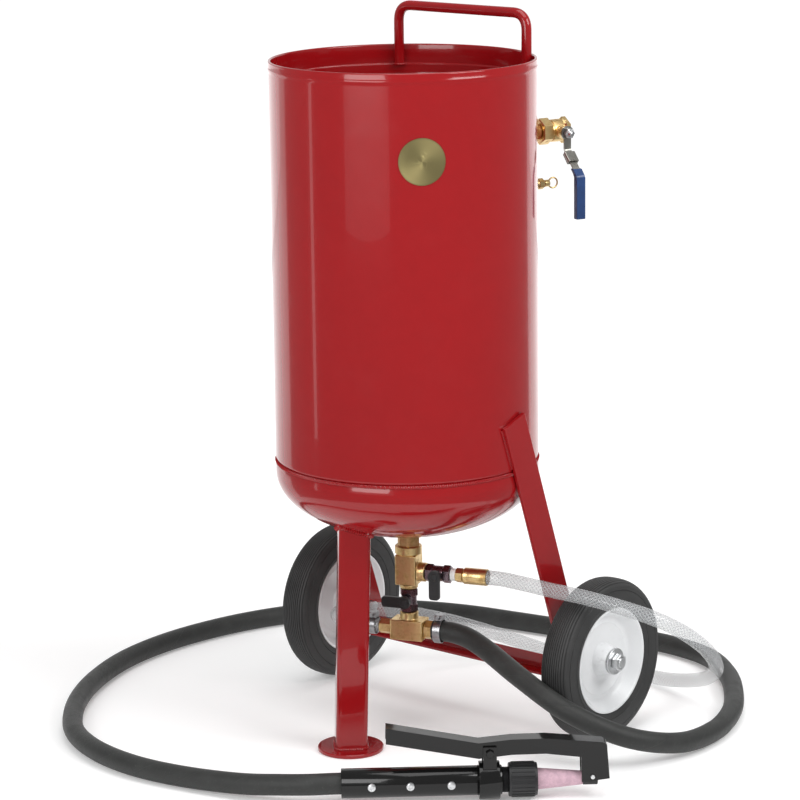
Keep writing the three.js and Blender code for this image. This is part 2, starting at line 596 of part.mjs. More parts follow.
/** The gun lies level on the floor: its tube along local X, its lever above it. */
function makeGun() {
  const gun = groupAt(tank, GUN_START[0], GUN_START[1], GUN_Z);
  gun.rotation.z = GUN_ANGLE;
  const tubeEnd = 236;
  add(gun, 'gun_tube', lieAlongX(sleeve(BLAST_HOSE / 2 + 2.5, GUN_RADIUS, 0, tubeEnd, 20)), blackPaint());

  const collar = lieAlongX(sleeve(GUN_RADIUS + GAP, 28.4, 202, 233, 20));
  const ear = (y) => new THREE.BoxGeometry(20, 4, 44).translate(PIVOT_X, y, 34);
  const bore = lieAlongX(bar(GUN_RADIUS + GAP, 190, 245, 20));
  const pinHole = bar(4.3, -30, 30, 12).rotateX(Math.PI / 2).translate(PIVOT_X, 0, PIVOT_H);
  const earY = LEVER_WIDTH / 2 + 2.6;
  add(gun, 'gun_pivot_clamp', cut(join(collar, ear(earY), ear(-earY)), bore, pinHole), blackPaint());

  const pin = groupAt(gun, PIVOT_X, 0, PIVOT_H);
  pin.rotation.x = Math.PI / 2;
  const reach = earY + 2.3;
  add(pin, 'gun_pivot_bolt', join(bar(4, -reach - 5, reach + 1), hexBar(11, reach, reach + 5)), blackPaint());
  add(pin, 'lever_spring', sleeve(5.2, 9, -8, 8, 14), steel());

  // Lever: an inverted channel with a shallow bend, its front end turned down over the nozzle.
  const outer = [
    [66, 63], [202, 37], [250, 42], [300, 42.5], [352, 36], [353, -3], [394, 2], [390, 54], [384, 58],
    [300, 66], [250, 65.5], [202, 61], [66.5, 87],
  ];
  const inner = [
    [60, 40], [202, 20], [250, 25], [300, 20], [340, 20], [341, -20], [391.5, -20], [388, 53], [383, 55.5],
    [300, 63.5], [250, 63], [202, 58.5], [60, 85.6],
  ];
  const leverHole = bar(4.4, -30, 30, 12).rotateX(Math.PI / 2).translate(PIVOT_X, 0, PIVOT_H);
  const keyHole = bar(2.4, -30, 30, 10).rotateX(Math.PI / 2).translate(STOPPER_PIN_X, 0, STOPPER_PIN_H);
  add(gun, 'gun_lever', cut(
    acrossGun(outer, LEVER_WIDTH), acrossGun(inner, LEVER_WIDTH - 5), leverHole, keyHole,
  ), blackPaint());
  const pad = lieAlongX(bar(10.6, NOZZLE_TIP + GAP, NOZZLE_TIP + 22, 16));
  add(gun, 'stopper_pad', cut(pad, keyHole), rubber());
  const stopperPin = groupAt(gun, STOPPER_PIN_X, 0, STOPPER_PIN_H);
  stopperPin.rotation.x = Math.PI / 2;
  add(stopperPin, 'stopper_pin', join(bar(2, -16, 18, 8), bar(3.4, LEVER_WIDTH / 2 + GAP, 18, 10)), zinc());

  // Nozzle end: threaded holder, ribbed nut and the tapered ceramic nozzle.
  const holder = cut(
    lieAlongX(join(bar(19, 226, 250, 20), bar(16, 250, 262, 20))),
    lieAlongX(bar(6, 220, 270)),
  );
  const holderSeat = lieAlongX(bar(GUN_RADIUS + 20, 200, 236 + GAP));
  add(gun, 'nozzle_holder', cut(holder, holderSeat), blackPlastic());
  add(gun, 'nozzle_nut', lieAlongX(ring([
    [26.5, 246], [26.5, 285], [24, 288], [16.6, 288], [16.6, 262.6], [19.4, 262.6], [19.4, 246],
  ], 20)), blackPlastic());
  add(gun, 'ceramic_nozzle', lieAlongX(ring([
    [15.8, 262.6], [15.8, 290], [10.2, NOZZLE_TIP], [3.2, NOZZLE_TIP], [3.2, 300], [8, 262.6],
  ], 20)), finish(0xd7aabe, 0.7, 0));
}

makeTank();
makeHandle();
makeLegs();
makeWheel('left', -1);
makeWheel('right', 1);
makeInletValve();
makeReliefValve();
makeMixingStack();
makeHoses();
makeGun();

export default blaster;
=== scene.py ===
"""Looks for a portable pressure-pot abrasive blaster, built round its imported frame. Metres, +Z up."""

import math

import bmesh
import bpy
from mathutils import Matrix, Vector


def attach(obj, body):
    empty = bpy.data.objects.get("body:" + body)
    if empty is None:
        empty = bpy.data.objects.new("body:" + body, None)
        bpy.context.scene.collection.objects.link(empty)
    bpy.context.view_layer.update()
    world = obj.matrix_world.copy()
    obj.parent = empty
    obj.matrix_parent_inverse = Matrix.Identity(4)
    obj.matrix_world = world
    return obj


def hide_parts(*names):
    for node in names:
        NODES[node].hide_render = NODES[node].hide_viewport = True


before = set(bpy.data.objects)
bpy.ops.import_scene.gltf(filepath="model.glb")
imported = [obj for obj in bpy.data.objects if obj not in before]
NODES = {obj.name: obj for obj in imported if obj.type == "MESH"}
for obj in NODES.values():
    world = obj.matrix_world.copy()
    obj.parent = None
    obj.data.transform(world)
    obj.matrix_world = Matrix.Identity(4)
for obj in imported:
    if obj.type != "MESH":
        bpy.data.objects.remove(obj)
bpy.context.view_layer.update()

bl_info = {
    "name": "Pressure-pot blaster",
    "version": (1, 0, 0),
    "blender": (4, 5, 0),
    "location": "View3D > Sidebar > Blaster",
    "description": "Builds the finished pieces, finishes and stage of a wheeled abrasive blaster",
    "category": "Object",
}

UP = Vector((0, 0, 1))
TAU = 2 * math.pi

# ---------------------------------------------------------------- places, shared by several pieces


def direction(degrees):
    """A level unit vector, from +X toward +Y."""
    return Vector((math.cos(math.radians(degrees)), math.sin(math.radians(degrees)), 0))


def placed(origin, z, x=UP):
    """The matrix of axes that stand at origin with their Z and X along the given directions."""
    z = Vector(z).normalized()
    x = Vector(x)
    x = (x - z * x.dot(z)).normalized()
    y = z.cross(x)
    turn = Matrix((x, y, z)).transposed().to_4x4()
    return Matrix.Translation(origin) @ turn


AXIS = Vector((0, 0.143, 0))  # foot of the tank's axis
TANK = Matrix.Translation(AXIS)
PORT = direction(68.5)  # inlet and relief ports
PORT_SIDE = PORT.cross(UP)  # toward the inlet valve's stem
STACK = direction(20)  # side outlets under the tank
STACK_SIDE = STACK.cross(UP)
GUN = direction(42.7)  # nozzle handle, lying level
GUN_SIDE = GUN.cross(UP)
GUN_START = AXIS + Vector((0.148, -0.3326, 0.029))
TANK_RADIUS = 0.2032
TANK_INNER = 0.1984
RIM_Z = 1.053
SEAM_Z = 0.441
HEAD_Z = 0.420
HEAD_DEPTH = 0.100
INLET_Z = 0.9235
RELIEF_Z = 0.842
AIR_Z = 0.253  # upper tee's side outlet
MIX_Z = 0.160  # lower tee's run
AXIS_BORE = 0.1  # a radius that stands for none, in millimetres
WAIST = 0.93  # of a hexagon's width, at its chamfered ends
WHEEL_CENTRE = {"left": Vector((-0.267, 0.285, 0.127)), "right": Vector((0.267, 0.285, 0.127))}
OUTWARD = {"left": Vector((-1, 0, 0)), "right": Vector((1, 0, 0))}


def port_place(z, along=0.0):
    """Axes on a port: Z outward along it from the tank's axis."""
    return placed(AXIS + UP * z + PORT * along, PORT)


def stack_place(z):
    """Axes on a side outlet under the tank: Z along it."""
    return placed(AXIS + UP * z, STACK)


# Points that the two hoses follow, in millimetres from the foot of the tank's axis.
BLAST_ROUTE = [
    (37.9, 13.8, 160), (49, 17.8, 160), (62, 22.5, 159.8), (92, 28, 155.5), (130, 24, 146), (222, 3, 119),
    (312, 3, 84), (384, 50, 48), (420, 134, 24), (418, 231, 16.5), (387, 324, 16.5), (335, 407, 16.5),
    (271, 482, 16.5), (193, 539, 16.5), (99, 558, 16.5), (1, 547, 16.5), (-95, 525, 16.5),
    (-192, 507, 16.5), (-288, 487, 16.5), (-378, 450, 16.5), (-456, 392, 16.5), (-515, 315, 16.5),
    (-554, 226, 16.5), (-575, 130, 16.5), (-580, 32, 16.5), (-567, -65, 16.5), (-535, -157, 16.5),
    (-489, -243, 16.5), (-429, -321, 16.5), (-357, -386, 16.5), (-269, -426, 16.5), (-172, -440, 16.5),
    (-75, -429, 17), (21, -406, 21), (74, -387, 26), (113, -365, 28.5), (139.2, -340.7, 29),
    (170, -312.3, 29),
]
AIR_ROUTE = [
    (122.6, 44.6, 253), (141, 51, 253), (179, 57, 251), (238, 60, 249), (296, 65, 247), (349, 79, 239),
    (393, 106, 223), (420, 143, 198), (428, 185, 167), (418, 229, 134), (394, 272, 103), (360, 311, 76),
    (318, 346, 52), (269, 373, 33), (215, 393, 19), (157, 405, 13), (97, 407, 12.5), (38, 400, 15),
    (-18, 383, 24), (-69, 357, 40), (-111, 321, 59), (-143, 276, 79), (-166, 224, 98), (-177, 169, 116),
    (-180, 112, 133), (-175, 57, 145), (-158, 10, 153), (-129, -20, 158), (-100, -31, 160),
    (-76, -27.7, 160), (-62, -22.6, 160), (-45.4, -16.5, 160),
]


def smooth_route(points, step):
    """Points about step apart on a centripetal Catmull-Rom curve through the given ones."""
    knots = [AXIS + Vector(p) / 1000 for p in points]
    ends = [2 * knots[0] - knots[1], *knots, 2 * knots[-1] - knots[-2]]
    line = []
    for a, b, c, d in zip(ends, ends[1:], ends[2:], ends[3:]):
        t1 = (b - a).length ** 0.5
        t2 = t1 + (c - b).length ** 0.5
        t3 = t2 + (d - c).length ** 0.5
        parts = max(1, round((c - b).length / step))
        for i in range(parts):
            t = t1 + (t2 - t1) * i / parts
            ab = a * ((t1 - t) / t1) + b * (t / t1)
            bc = b * ((t2 - t) / (t2 - t1)) + c * ((t - t1) / (t2 - t1))
            cd = c * ((t3 - t) / (t3 - t2)) + d * ((t - t2) / (t3 - t2))
            abc = ab * ((t2 - t) / t2) + bc * (t / t2)
            bcd = bc * ((t3 - t) / (t3 - t1)) + cd * ((t - t1) / (t3 - t1))
            line.append(abc * ((t2 - t) / (t2 - t1)) + bcd * ((t - t1) / (t2 - t1)))
    return [*line, knots[-1]]


# ---------------------------------------------------------------- shapes


class Shape:
    """Gathers closed surfaces, then makes them one piece."""

    def __init__(self):
        self.mesh = bmesh.new()
        self.run = self.mesh.verts.layers.float.new("run")
        self.round = self.mesh.verts.layers.float_vector.new("round")

    def skin(self, rings, loop=False):
        """Faces between rings of points, and across the first and last ring."""
        rows = [[self.mesh.verts.new(p) for p in ring] for ring in rings]
        pairs = list(zip(rows, rows[1:]))
        if loop:
            pairs.append((rows[-1], rows[0]))
        else:
            self.mesh.faces.new(rows[0][::-1])
            self.mesh.faces.new(rows[-1])
        count = len(rows[0])
        for low, high in pairs:
            for i in range(count):
                j = (i + 1) % count
                self.mesh.faces.new((low[i], low[j], high[j], high[i]))
        return rows

    def turn(self, profile, place, steps, loop=True):
        """A turned shape about Z. A point is (radius, z), or (half across flats, z, 6) for a hexagon."""
        rings = []
        for point in profile:
            ring = []
            for i in range(steps):
                a = TAU * i / steps
                r = max(point[0], 1e-6)
                if len(point) > 2:
                    facet = TAU / point[2]
                    r /= math.cos(a % facet - facet / 2)
                ring.append(place @ Vector((r * math.cos(a), r * math.sin(a), point[1])))
            rings.append(ring)
        self.skin(rings, loop)

    def lathe(self, points, place, steps):
        """A turned shape from points in millimetres: solid if it starts on the axis, else a ring."""
        hollow = points[0][0] > AXIS_BORE
        self.turn([(r / 1000, z / 1000, *sides) for r, z, *sides in points], place, steps, hollow)
        return self

    def tube(self, points, radius, sides, loop=False):
        """A round bar along points, which remembers how far along and round it each vertex is."""
        count = len(points)
        side = None
        travelled = 0.0
        rings, runs = [], []
        for i, p in enumerate(points):
            ahead = points[(i + 1) % count] if loop else points[min(i + 1, count - 1)]
            behind = points[i - 1] if loop else points[max(i - 1, 0)]
            along = (ahead - behind).normalized()
            if side is None:
                side = along.orthogonal().normalized()
            else:
                travelled += (p - points[i - 1]).length
                side = (side - along * side.dot(along)).normalized()
            other = along.cross(side)
            r = radius[i] if isinstance(radius, (list, tuple)) else radius
            rings.append([
                p + (side * math.cos(TAU * k / sides) + other * math.sin(TAU * k / sides)) * r
                for k in range(sides)
            ])
            runs.append(travelled)
        rows = self.skin(rings, loop)
        for row, run in zip(rows, runs):
            for k, vertex in enumerate(row):
                vertex[self.run] = run
                vertex[self.round] = (math.cos(TAU * k / sides), math.sin(TAU * k / sides), 0)

    def slab(self, outline, depth, place):
        """A flat outline in X and Y, with its depth shared out to both sides."""
        self.skin([[place @ Vector((x, y, z)) for x, y in outline] for z in (-depth / 2, depth / 2)])

    def piece(self, name, body, paint, node=None, bevel=0.0, crease=38):
        """The finished object, riding on a body of the frame in place of one of its nodes."""
        bmesh.ops.remove_doubles(self.mesh, verts=self.mesh.verts, dist=2e-6)
        bmesh.ops.dissolve_degenerate(self.mesh, edges=self.mesh.edges, dist=1e-7)
        bmesh.ops.recalc_face_normals(self.mesh, faces=self.mesh.faces)
        data = bpy.data.meshes.new(name)
        self.mesh.to_mesh(data)
        self.mesh.free()
        made = bpy.data.objects.new(name, data)
        bpy.context.scene.collection.objects.link(made)
        data.materials.append(finish(paint))
        soften(made, bevel, crease)
        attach(made, body)
        if node:
            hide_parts(node)
        return made


def soften(made, bevel, crease=38, segments=2):
    """Smooth shading with crisp or slightly rounded edges."""
    made.data.shade_smooth()
    if bevel:
        rounded = made.modifiers.new("edges", "BEVEL")
        rounded.width = bevel
        rounded.segments = segments
        rounded.limit_method = "ANGLE"
        rounded.angle_limit = math.radians(crease)
        rounded.use_clamp_overlap = True
        even = made.modifiers.new("shading", "WEIGHTED_NORMAL")
        even.keep_sharp = True
    else:
        made.data.set_sharp_from_angle(angle=math.radians(crease))


def keep(node, paint, bevel=0.0, crease=30, segments=2):
    """A frame node that shows as it is, with its edges rounded and a real finish."""
    shown = NODES[node]
    shown.data.materials.clear()
    shown.data.materials.append(finish(paint))
    joined = shown.modifiers.new("join", "WELD")
    joined.merge_threshold = 1e-5
    soften(shown, bevel, crease, segments)


def turned(name, body, paint, node, place, points, steps=72, crease=38):
    """A piece that is one turned shape, from points in millimetres."""
    Shape().lathe(points, place, steps).piece(name, body, paint, node, crease=crease)


def rounded_rectangle(width, height, radius, steps=6):
    outline = []
    for corner in range(4):
        cx = (width / 2 - radius) * (1 if corner in (0, 3) else -1)
        cy = (height / 2 - radius) * (1 if corner in (0, 1) else -1)
        for i in range(steps + 1):
            a = math.pi / 2 * (corner + i / steps)
            outline.append((cx + radius * math.cos(a), cy + radius * math.sin(a)))
    return outline


def bead(shape, points, radius, loop=False):
    """A weld bead along points: a low rope of small overlapping ripples."""
    ripple = 0.0035
    line, radii = [], []
    travelled = 0.0
    pairs = list(zip(points, points[1:] + (points[:1] if loop else [])))
    for a, b in pairs:
        parts = max(1, round((b - a).length / (ripple / 4)))
        for i in range(parts):
            line.append(a.lerp(b, i / parts))
            radii.append(radius * (0.86 + 0.14 * math.cos(TAU * travelled / ripple)))
            travelled += (b - a).length / parts
    shape.tube(line, radii, sides=8, loop=loop)


def circle(place, radius, steps=96):
    return [
        place @ Vector((radius * math.cos(TAU * i / steps), radius * math.sin(TAU * i / steps), 0))
        for i in range(steps)
    ]


# ---------------------------------------------------------------- finishes


class Number:
    """A socket that carries one number, for use in arithmetic."""

    def __init__(self, finish, socket):
        self.finish = finish
        self.socket = socket

    def maths(self, operation, *values):
        made = self.finish.node("ShaderNodeMath", {"operation": operation}, dict(enumerate(values)))
        return Number(self.finish, made.outputs[0])

    def __add__(self, other):
        return self.maths("ADD", self, other)

    __radd__ = __add__

    def __sub__(self, other):
        return self.maths("SUBTRACT", self, other)

    def __rsub__(self, other):
        return self.maths("SUBTRACT", other, self)

    def __mul__(self, other):
        return self.maths("MULTIPLY", self, other)

    __rmul__ = __mul__

    def __pow__(self, other):
        return self.maths("POWER", self, other)

    def __abs__(self):
        return self.maths("ABSOLUTE", self)

    def sine(self):
        return self.maths("SINE", self)

    def larger(self, other):
        return self.maths("MAXIMUM", self, other)

    def above(self, low, high):
        """0 below low, 1 above high, and smooth between them."""
        made = self.finish.node(
            "ShaderNodeMapRange", {"interpolation_type": "SMOOTHSTEP"},
            {"Value": self, "From Min": low, "From Max": high},
        )
        return Number(self.finish, made.outputs["Result"])


class Finish:
    """One procedural material, on a Principled shader."""

    def __init__(self, name, metallic=0.0, coat=0.0, coat_roughness=0.05, specular=0.5):
        self.material = bpy.data.materials.new(name)
        self.material.use_nodes = True
        self.tree = self.material.node_tree
        self.shader = next(n for n in self.tree.nodes if n.type == "BSDF_PRINCIPLED")
        self.put("Metallic", metallic)
        self.put("Coat Weight", coat)
        self.put("Coat Roughness", coat_roughness)
        self.put("Specular IOR Level", specular)

    def feed(self, socket, value):
        if isinstance(value, Number):
            value = value.socket
        if isinstance(value, bpy.types.NodeSocket):
            self.tree.links.new(value, socket)
        else:
            socket.default_value = value

    def put(self, name, value):
        self.feed(self.shader.inputs[name], value)

    def node(self, kind, settings, sockets):
        """Any node: its type, its settings, then the values or links of its sockets."""
        made = self.tree.nodes.new(kind)
        for name, value in settings.items():
            setattr(made, name, value)
        for name, value in sockets.items():
            self.feed(made.inputs[name], value)
        return made

    def place(self):
        return self.node("ShaderNodeTexCoord", {}, {}).outputs["Object"]

    def angle(self, name):
        """The angle, in radians, of a stored direction round a piece."""
        split = self.node("ShaderNodeSeparateXYZ", {}, {"Vector": self.attribute(name).outputs["Vector"]})
        return Number(self, split.outputs["Y"]).maths("ARCTAN2", split.outputs["Y"], split.outputs["X"])

    def stretched(self, scale):
        made = self.node("ShaderNodeMapping", {}, {"Vector": self.place(), "Scale": scale})
        return made.outputs["Vector"]

    def noise(self, scale, detail, roughness=0.5, where=None):
        made = self.node("ShaderNodeTexNoise", {}, {
            "Vector": where or self.place(), "Scale": scale, "Detail": detail, "Roughness": roughness,
        })
        return Number(self, made.outputs["Fac"])

    def cells(self, scale):
        made = self.node("ShaderNodeTexVoronoi", {}, {"Vector": self.place(), "Scale": scale})
        return Number(self, made.outputs["Distance"])

    def attribute(self, name):
        return self.node("ShaderNodeAttribute", {"attribute_name": name}, {})

    def mix(self, amount, first, second):
        """A colour from first, at amount 0, to second, at 1."""
        made = self.node("ShaderNodeMix", {"data_type": "RGBA"}, {0: amount, 6: first, 7: second})
        return made.outputs[2]

    def bump(self, height, distance, after=None):
        sockets = {"Height": height, "Distance": distance}
        if after is not None:
            sockets["Normal"] = after
        return self.node("ShaderNodeBump", {}, sockets).outputs["Normal"]


def shade(color, by):
    """A darker or lighter version of a colour."""
    return (*(min(1.0, c * by) for c in color[:3]), 1)


def enamel(name, color, roughness, waves, coat):
    """Glossy sprayed enamel: orange peel, slow waves from the plate under it, a little grime."""
    made = Finish(name, coat=coat, coat_roughness=0.02, specular=0.22)
    slow = made.noise(3.1, 2)
    fine = made.noise(46, 4)
    worn = made.noise(900, 2)
    cloud = (slow * 0.6 + fine * 0.4).above(0.3, 0.7)
    made.put("Base Color", made.mix(cloud, shade(color, 0.96), shade(color, 1.03)))
    made.put("Roughness", roughness + made.noise(19, 5, 0.65).above(0.45, 0.8) * 0.1 + worn * 0.02)
    peel = made.bump(made.noise(240, 2), 0.00006)
    made.put("Normal", made.bump(made.noise(6.5, 1.5), waves, after=peel))
    return made.material


def cast_brass(name, color):
    """Machined brass: fine tool marks, slight tarnish in patches and small dark pits."""
    made = Finish(name, metallic=1.0)
    tarnish = made.noise(70, 5, 0.6).above(0.42, 0.75)
    pits = made.cells(900).above(0.12, 0.03)
    base = made.mix(tarnish, shade(color, 1.05), shade((color[0], color[1] * 0.82, color[2] * 0.6), 0.62))
    made.put("Base Color", made.mix(pits * 0.5, base, shade(color, 0.25)))
    marks = made.noise(1, 3, 0.6, where=made.stretched((1400, 1400, 300)))
    made.put("Roughness", 0.27 + tarnish * 0.18 + marks * 0.12)
    made.put("Normal", made.bump(marks, 0.00005, after=made.bump(made.noise(420, 2), 0.00008)))
    return made.material


def plated(name, color, roughness=0.3, metallic=1.0):
    """Plated or brushed steel: directional grain, cloudy patches and a few darker scuffs."""
    made = Finish(name, metallic=metallic)
    grain = 0.00006
    cloud = made.noise(55, 4, 0.6)
    scuff = made.noise(1, 4, 0.7, where=made.stretched((90, 700, 90))).above(0.58, 0.72)
    made.put("Base Color", made.mix(cloud.above(0.3, 0.75), shade(color, 0.82), shade(color, 1.12)))
    made.put("Roughness", roughness + cloud * 0.1 + scuff * 0.16)
    lines = made.noise(1, 3, 0.6, where=made.stretched((260, 2600, 260)))
    made.put("Normal", made.bump(lines, grain, after=made.bump(made.noise(500, 2), grain)))
    return made.material


def moulded(name, color, roughness, grain, depth=0.00005, coat=0.0):
    """Moulded plastic or rubber with a fine grain and faint handling marks."""
    made = Finish(name, coat=coat, coat_roughness=0.2)
    marks = made.noise(38, 5, 0.6)
    made.put("Base Color", made.mix(marks.above(0.35, 0.75), shade(color, 0.85), shade(color, 1.35)))
    made.put("Roughness", roughness + marks * 0.16)
    made.put("Normal", made.bump(made.cells(grain), depth, after=made.bump(made.noise(160, 3), depth)))
    return made.material


def tyre_rubber(name, color):
    """Satin tyre rubber: mould bloom, light dust specks and a fine open grain."""
    made = Finish(name, specular=0.45)
    bloom = made.noise(24, 5, 0.62).above(0.35, 0.78)
    specks = made.noise(700, 3, 0.7).above(0.6, 0.78)
    base = made.mix(bloom * 0.6, color, shade(color, 1.9))
    made.put("Base Color", made.mix(specks * 0.3, base, (0.16, 0.155, 0.15, 1)))
    made.put("Roughness", 0.5 + bloom * 0.2)
    uneven = made.bump(made.noise(60, 3), 0.0002)
    made.put("Normal", made.bump(made.noise(1300, 2), 0.00007, after=uneven))
    return made.material


def wrapped_rubber(name, color):
    """Blast hose cover: cloth-wrapped black rubber, with the wrap's weave pressed in along its run."""
    made = Finish(name, specular=0.4)
    run = Number(made, made.attribute("run").outputs["Fac"])
    turn = made.angle("round")
    warp = ((turn * 40 + run * 2600).sine() * 0.5) + 0.5
    weft = ((turn * 40 - run * 2600).sine() * 0.5) + 0.5
    wrap = abs((turn + run * (TAU / 0.16)).sine()).above(0.035, 0.0)
    dust = made.noise(34, 6, 0.66).above(0.42, 0.8)
    chalk = made.noise(420, 4, 0.75).above(0.6, 0.74)
    base = made.mix(dust * 0.7, color, shade(color, 2.1))
    made.put("Base Color", made.mix(chalk * 0.35, base, (0.2, 0.195, 0.185, 1)))
    made.put("Roughness", 0.46 + dust * 0.22)
    weave = made.bump(warp * weft, 0.00018)
    made.put("Normal", made.bump(wrap, 0.0004, after=made.bump(made.noise(90, 3), 0.0004, after=weave)))
    return made.material


def braided_vinyl(name, color, pitch):
    """Clear hose: a slightly cloudy skin over crossed white threads."""
    made = Finish(name, coat=0.4, coat_roughness=0.03)
    run = Number(made, made.attribute("run").outputs["Fac"])
    turn = made.angle("round")
    rate = TAU / pitch / 2
    left = abs((turn * 6 + run * rate).sine()).above(0.42, 0.12)
    right = abs((turn * 6 - run * rate).sine()).above(0.42, 0.12)
    threads = left.larger(right)
    knots = left * right
    cloud = made.noise(30, 4)
    skin = made.mix(cloud, shade(color, 0.86), color)
    base = made.mix(threads * 0.7, skin, (0.70, 0.71, 0.72, 1))
    made.put("Base Color", made.mix(knots * 0.9, base, (0.06, 0.065, 0.07, 1)))
    made.put("Alpha", 0.30 + threads * 0.30 + knots * 0.30)
    made.put("Roughness", 0.1 + threads * 0.12)
    made.put("Normal", made.bump(threads, 0.0003, after=made.bump(made.noise(70, 2), 0.0004)))
    return made.material


def gold_foil(name, color):
    """Gold foil, brushed round its centre, with a fan-shaped painted sheen in its colour."""
    made = Finish(name, metallic=1.0)
    out = Number(made, made.attribute("run").outputs["Fac"])
    turn = made.angle("round")
    # Painted sheen: the colour swings lighter and darker in fans round the centre, standing in for how
    # brushed foil catches light.
    painted_sheen = abs((turn + 0.55).sine()) ** 3
    fine = made.noise(900, 2).above(0.35, 0.65)
    fibre = ((turn * 210).sine() * 0.5 + 0.5) * fine
    edge = out.above(0.0325, 0.0345)
    base = made.mix(painted_sheen, shade(color, 0.66), shade(color, 1.22))
    made.put("Base Color", made.mix(edge * 0.45, base, shade(color, 0.4)))
    made.put("Roughness", 0.34 + fibre * 0.12)
    made.put("Normal", made.bump(fibre, 0.00005))
    return made.material


def fired_ceramic(name, color):
    """Unglazed pink nozzle ceramic: mottled, with small pale and dark grains."""
    made = Finish(name, specular=0.4)
    mottle = made.noise(120, 5, 0.62).above(0.35, 0.7)
    grains = made.noise(1500, 2).above(0.58, 0.7)
    base = made.mix(mottle, shade(color, 0.86), shade(color, 1.1))
    made.put("Base Color", made.mix(grains * 0.35, base, (0.30, 0.17, 0.22, 1)))
    made.put("Roughness", 0.5 + mottle * 0.22)
    made.put("Normal", made.bump(made.noise(900, 3), 0.00012))
    return made.material


def powder_coat(name, color):
    """Powder-coated wheel centre: fine texture, with grease that darkens toward the axle."""
    made = Finish(name, coat=0.25, coat_roughness=0.2)
    across = made.node("ShaderNodeVectorMath", {"operation": "MULTIPLY_ADD"}, {
        0: made.place(), 1: (0, 1, 1), 2: (0, -0.285, -0.127),
    })
    far = made.node("ShaderNodeVectorMath", {"operation": "LENGTH"}, {0: across.outputs["Vector"]})
    near_axle = Number(made, far.outputs["Value"]).above(0.034, 0.02)
    smudge = made.noise(60, 6, 0.7).above(0.48, 0.8)
    base = made.mix(made.noise(5, 2), shade(color, 0.95), color)
    grease = near_axle * smudge * 0.5 + smudge * 0.08
    made.put("Base Color", made.mix(grease, base, (0.25, 0.25, 0.24, 1)))
    made.put("Roughness", 0.3 + smudge * 0.15)
    made.put("Normal", made.bump(made.noise(700, 2), 0.00007, after=made.bump(made.noise(14, 2), 0.0006)))
    return made.material


# The material slot of each finish.
_FINISHES = {}


def finish(name):
    """The material of that name, made the first time that it is asked for."""
    if name not in _FINISHES:
        look = bpy.context.scene.blaster_finish
        _FINISHES[name] = {
            "red": lambda: enamel("red enamel", look.red, 0.14, 0.0007, 0.5),
            "black": lambda: enamel("black enamel", look.black, 0.12, 0.0002, 0.3),
            "brass": lambda: cast_brass("brass", look.brass),
            "zinc": lambda: plated("zinc plate", look.zinc),
            "steel": lambda: plated("brushed steel", (0.33, 0.32, 0.29, 1), 0.26),
            "dark": lambda: plated("dark plating", (0.20, 0.145, 0.165, 1), 0.2, 0.95),
            "clip": lambda: plated("clip steel", (0.34, 0.34, 0.35, 1), 0.24),
            "tyre": lambda: tyre_rubber("tyre rubber", look.rubber),
            "seal": lambda: moulded("seal rubber", (0.02, 0.02, 0.02, 1), 0.65, 700),
            "nylon": lambda: moulded("black nylon", (0.010, 0.010, 0.011, 1), 0.38, 1400),
            "vinyl": lambda: moulded("blue vinyl", look.grip, 0.3, 900, 0.00006, 0.35),
            "hub": lambda: powder_coat("white powder coat", look.hub),
            "hose": lambda: wrapped_rubber("hose rubber", (0.021, 0.022, 0.021, 1)),
            "clear": lambda: braided_vinyl("clear hose", (0.45, 0.47, 0.48, 1), 0.0075),
            "foil": lambda: gold_foil("gold foil", (0.52, 0.44, 0.20, 1)),
            "ceramic": lambda: fired_ceramic("nozzle ceramic", look.ceramic),
            "tape": lambda: moulded("thread tape", (0.78, 0.78, 0.76, 1), 0.5, 500),
        }[name]()
    return _FINISHES[name]


# ---------------------------------------------------------------- sizes and colours


def colour(name, description, default):
    return bpy.props.FloatVectorProperty(
        name=name, description=description, default=default, size=4, min=0, max=1, subtype="COLOR",
    )


def length(name, description, default, low, high):
    return bpy.props.FloatProperty(
        name=name, description=description, default=default, min=low, max=high, unit="LENGTH",
        subtype="DISTANCE", precision=4,
    )


class BLASTER_PG_finish(bpy.types.PropertyGroup):
    """Colours of the blaster's main finishes."""

    red: colour("Tank enamel", "Colour of the tank, legs and push handle", (0.255, 0.0045, 0.0065, 1))
    black: colour("Handle enamel", "Colour of the nozzle handle's enamel", (0.006, 0.006, 0.006, 1))
    brass: colour("Brass", "Colour of the brass fittings", (0.76, 0.56, 0.27, 1))
    zinc: colour("Zinc plate", "Colour of nuts, washers and clamps", (0.68, 0.69, 0.70, 1))
    rubber: colour("Tyre rubber", "Colour of the tyres", (0.028, 0.028, 0.028, 1))
    hub: colour("Wheel centre", "Colour of the pressed wheel centres", (0.80, 0.81, 0.82, 1))
    grip: colour("Valve grip", "Colour of the inlet lever's dipped grip", (0.003, 0.032, 0.13, 1))
    ceramic: colour("Nozzle", "Colour of the ceramic nozzle", (0.58, 0.385, 0.455, 1))


class BLASTER_PG_sizes(bpy.types.PropertyGroup):
    """Sizes of details that don't change the frame."""

    weld: length("Weld bead", "Half width of the weld beads", 0.0032, 0.001, 0.006)
    groove: length("Tread groove", "Depth of the fine grooves round the tyres", 0.0013, 0.0002, 0.004)
    wire: length("Spring wire", "Thickness of the lever spring's wire", 0.0019, 0.001, 0.003)
    facets: bpy.props.IntProperty(
        name="Tank facets", description="Facets round the tank's shell", default=192, min=48, max=360,
    )


class BLASTER_PG_stage(bpy.types.PropertyGroup):
    """The floor and the studio's light."""

    floor: colour("Floor", "Colour of the studio floor", (0.86, 0.86, 0.86, 1))
    surround: bpy.props.FloatProperty(
        name="Surround", description="Brightness of the white surroundings", default=0.36, min=0, max=4,
    )
    lamps: bpy.props.FloatProperty(
        name="Lamps", description="Power of the studio lamps, in watts", default=80, min=0, max=2000,
    )


# ---------------------------------------------------------------- operators


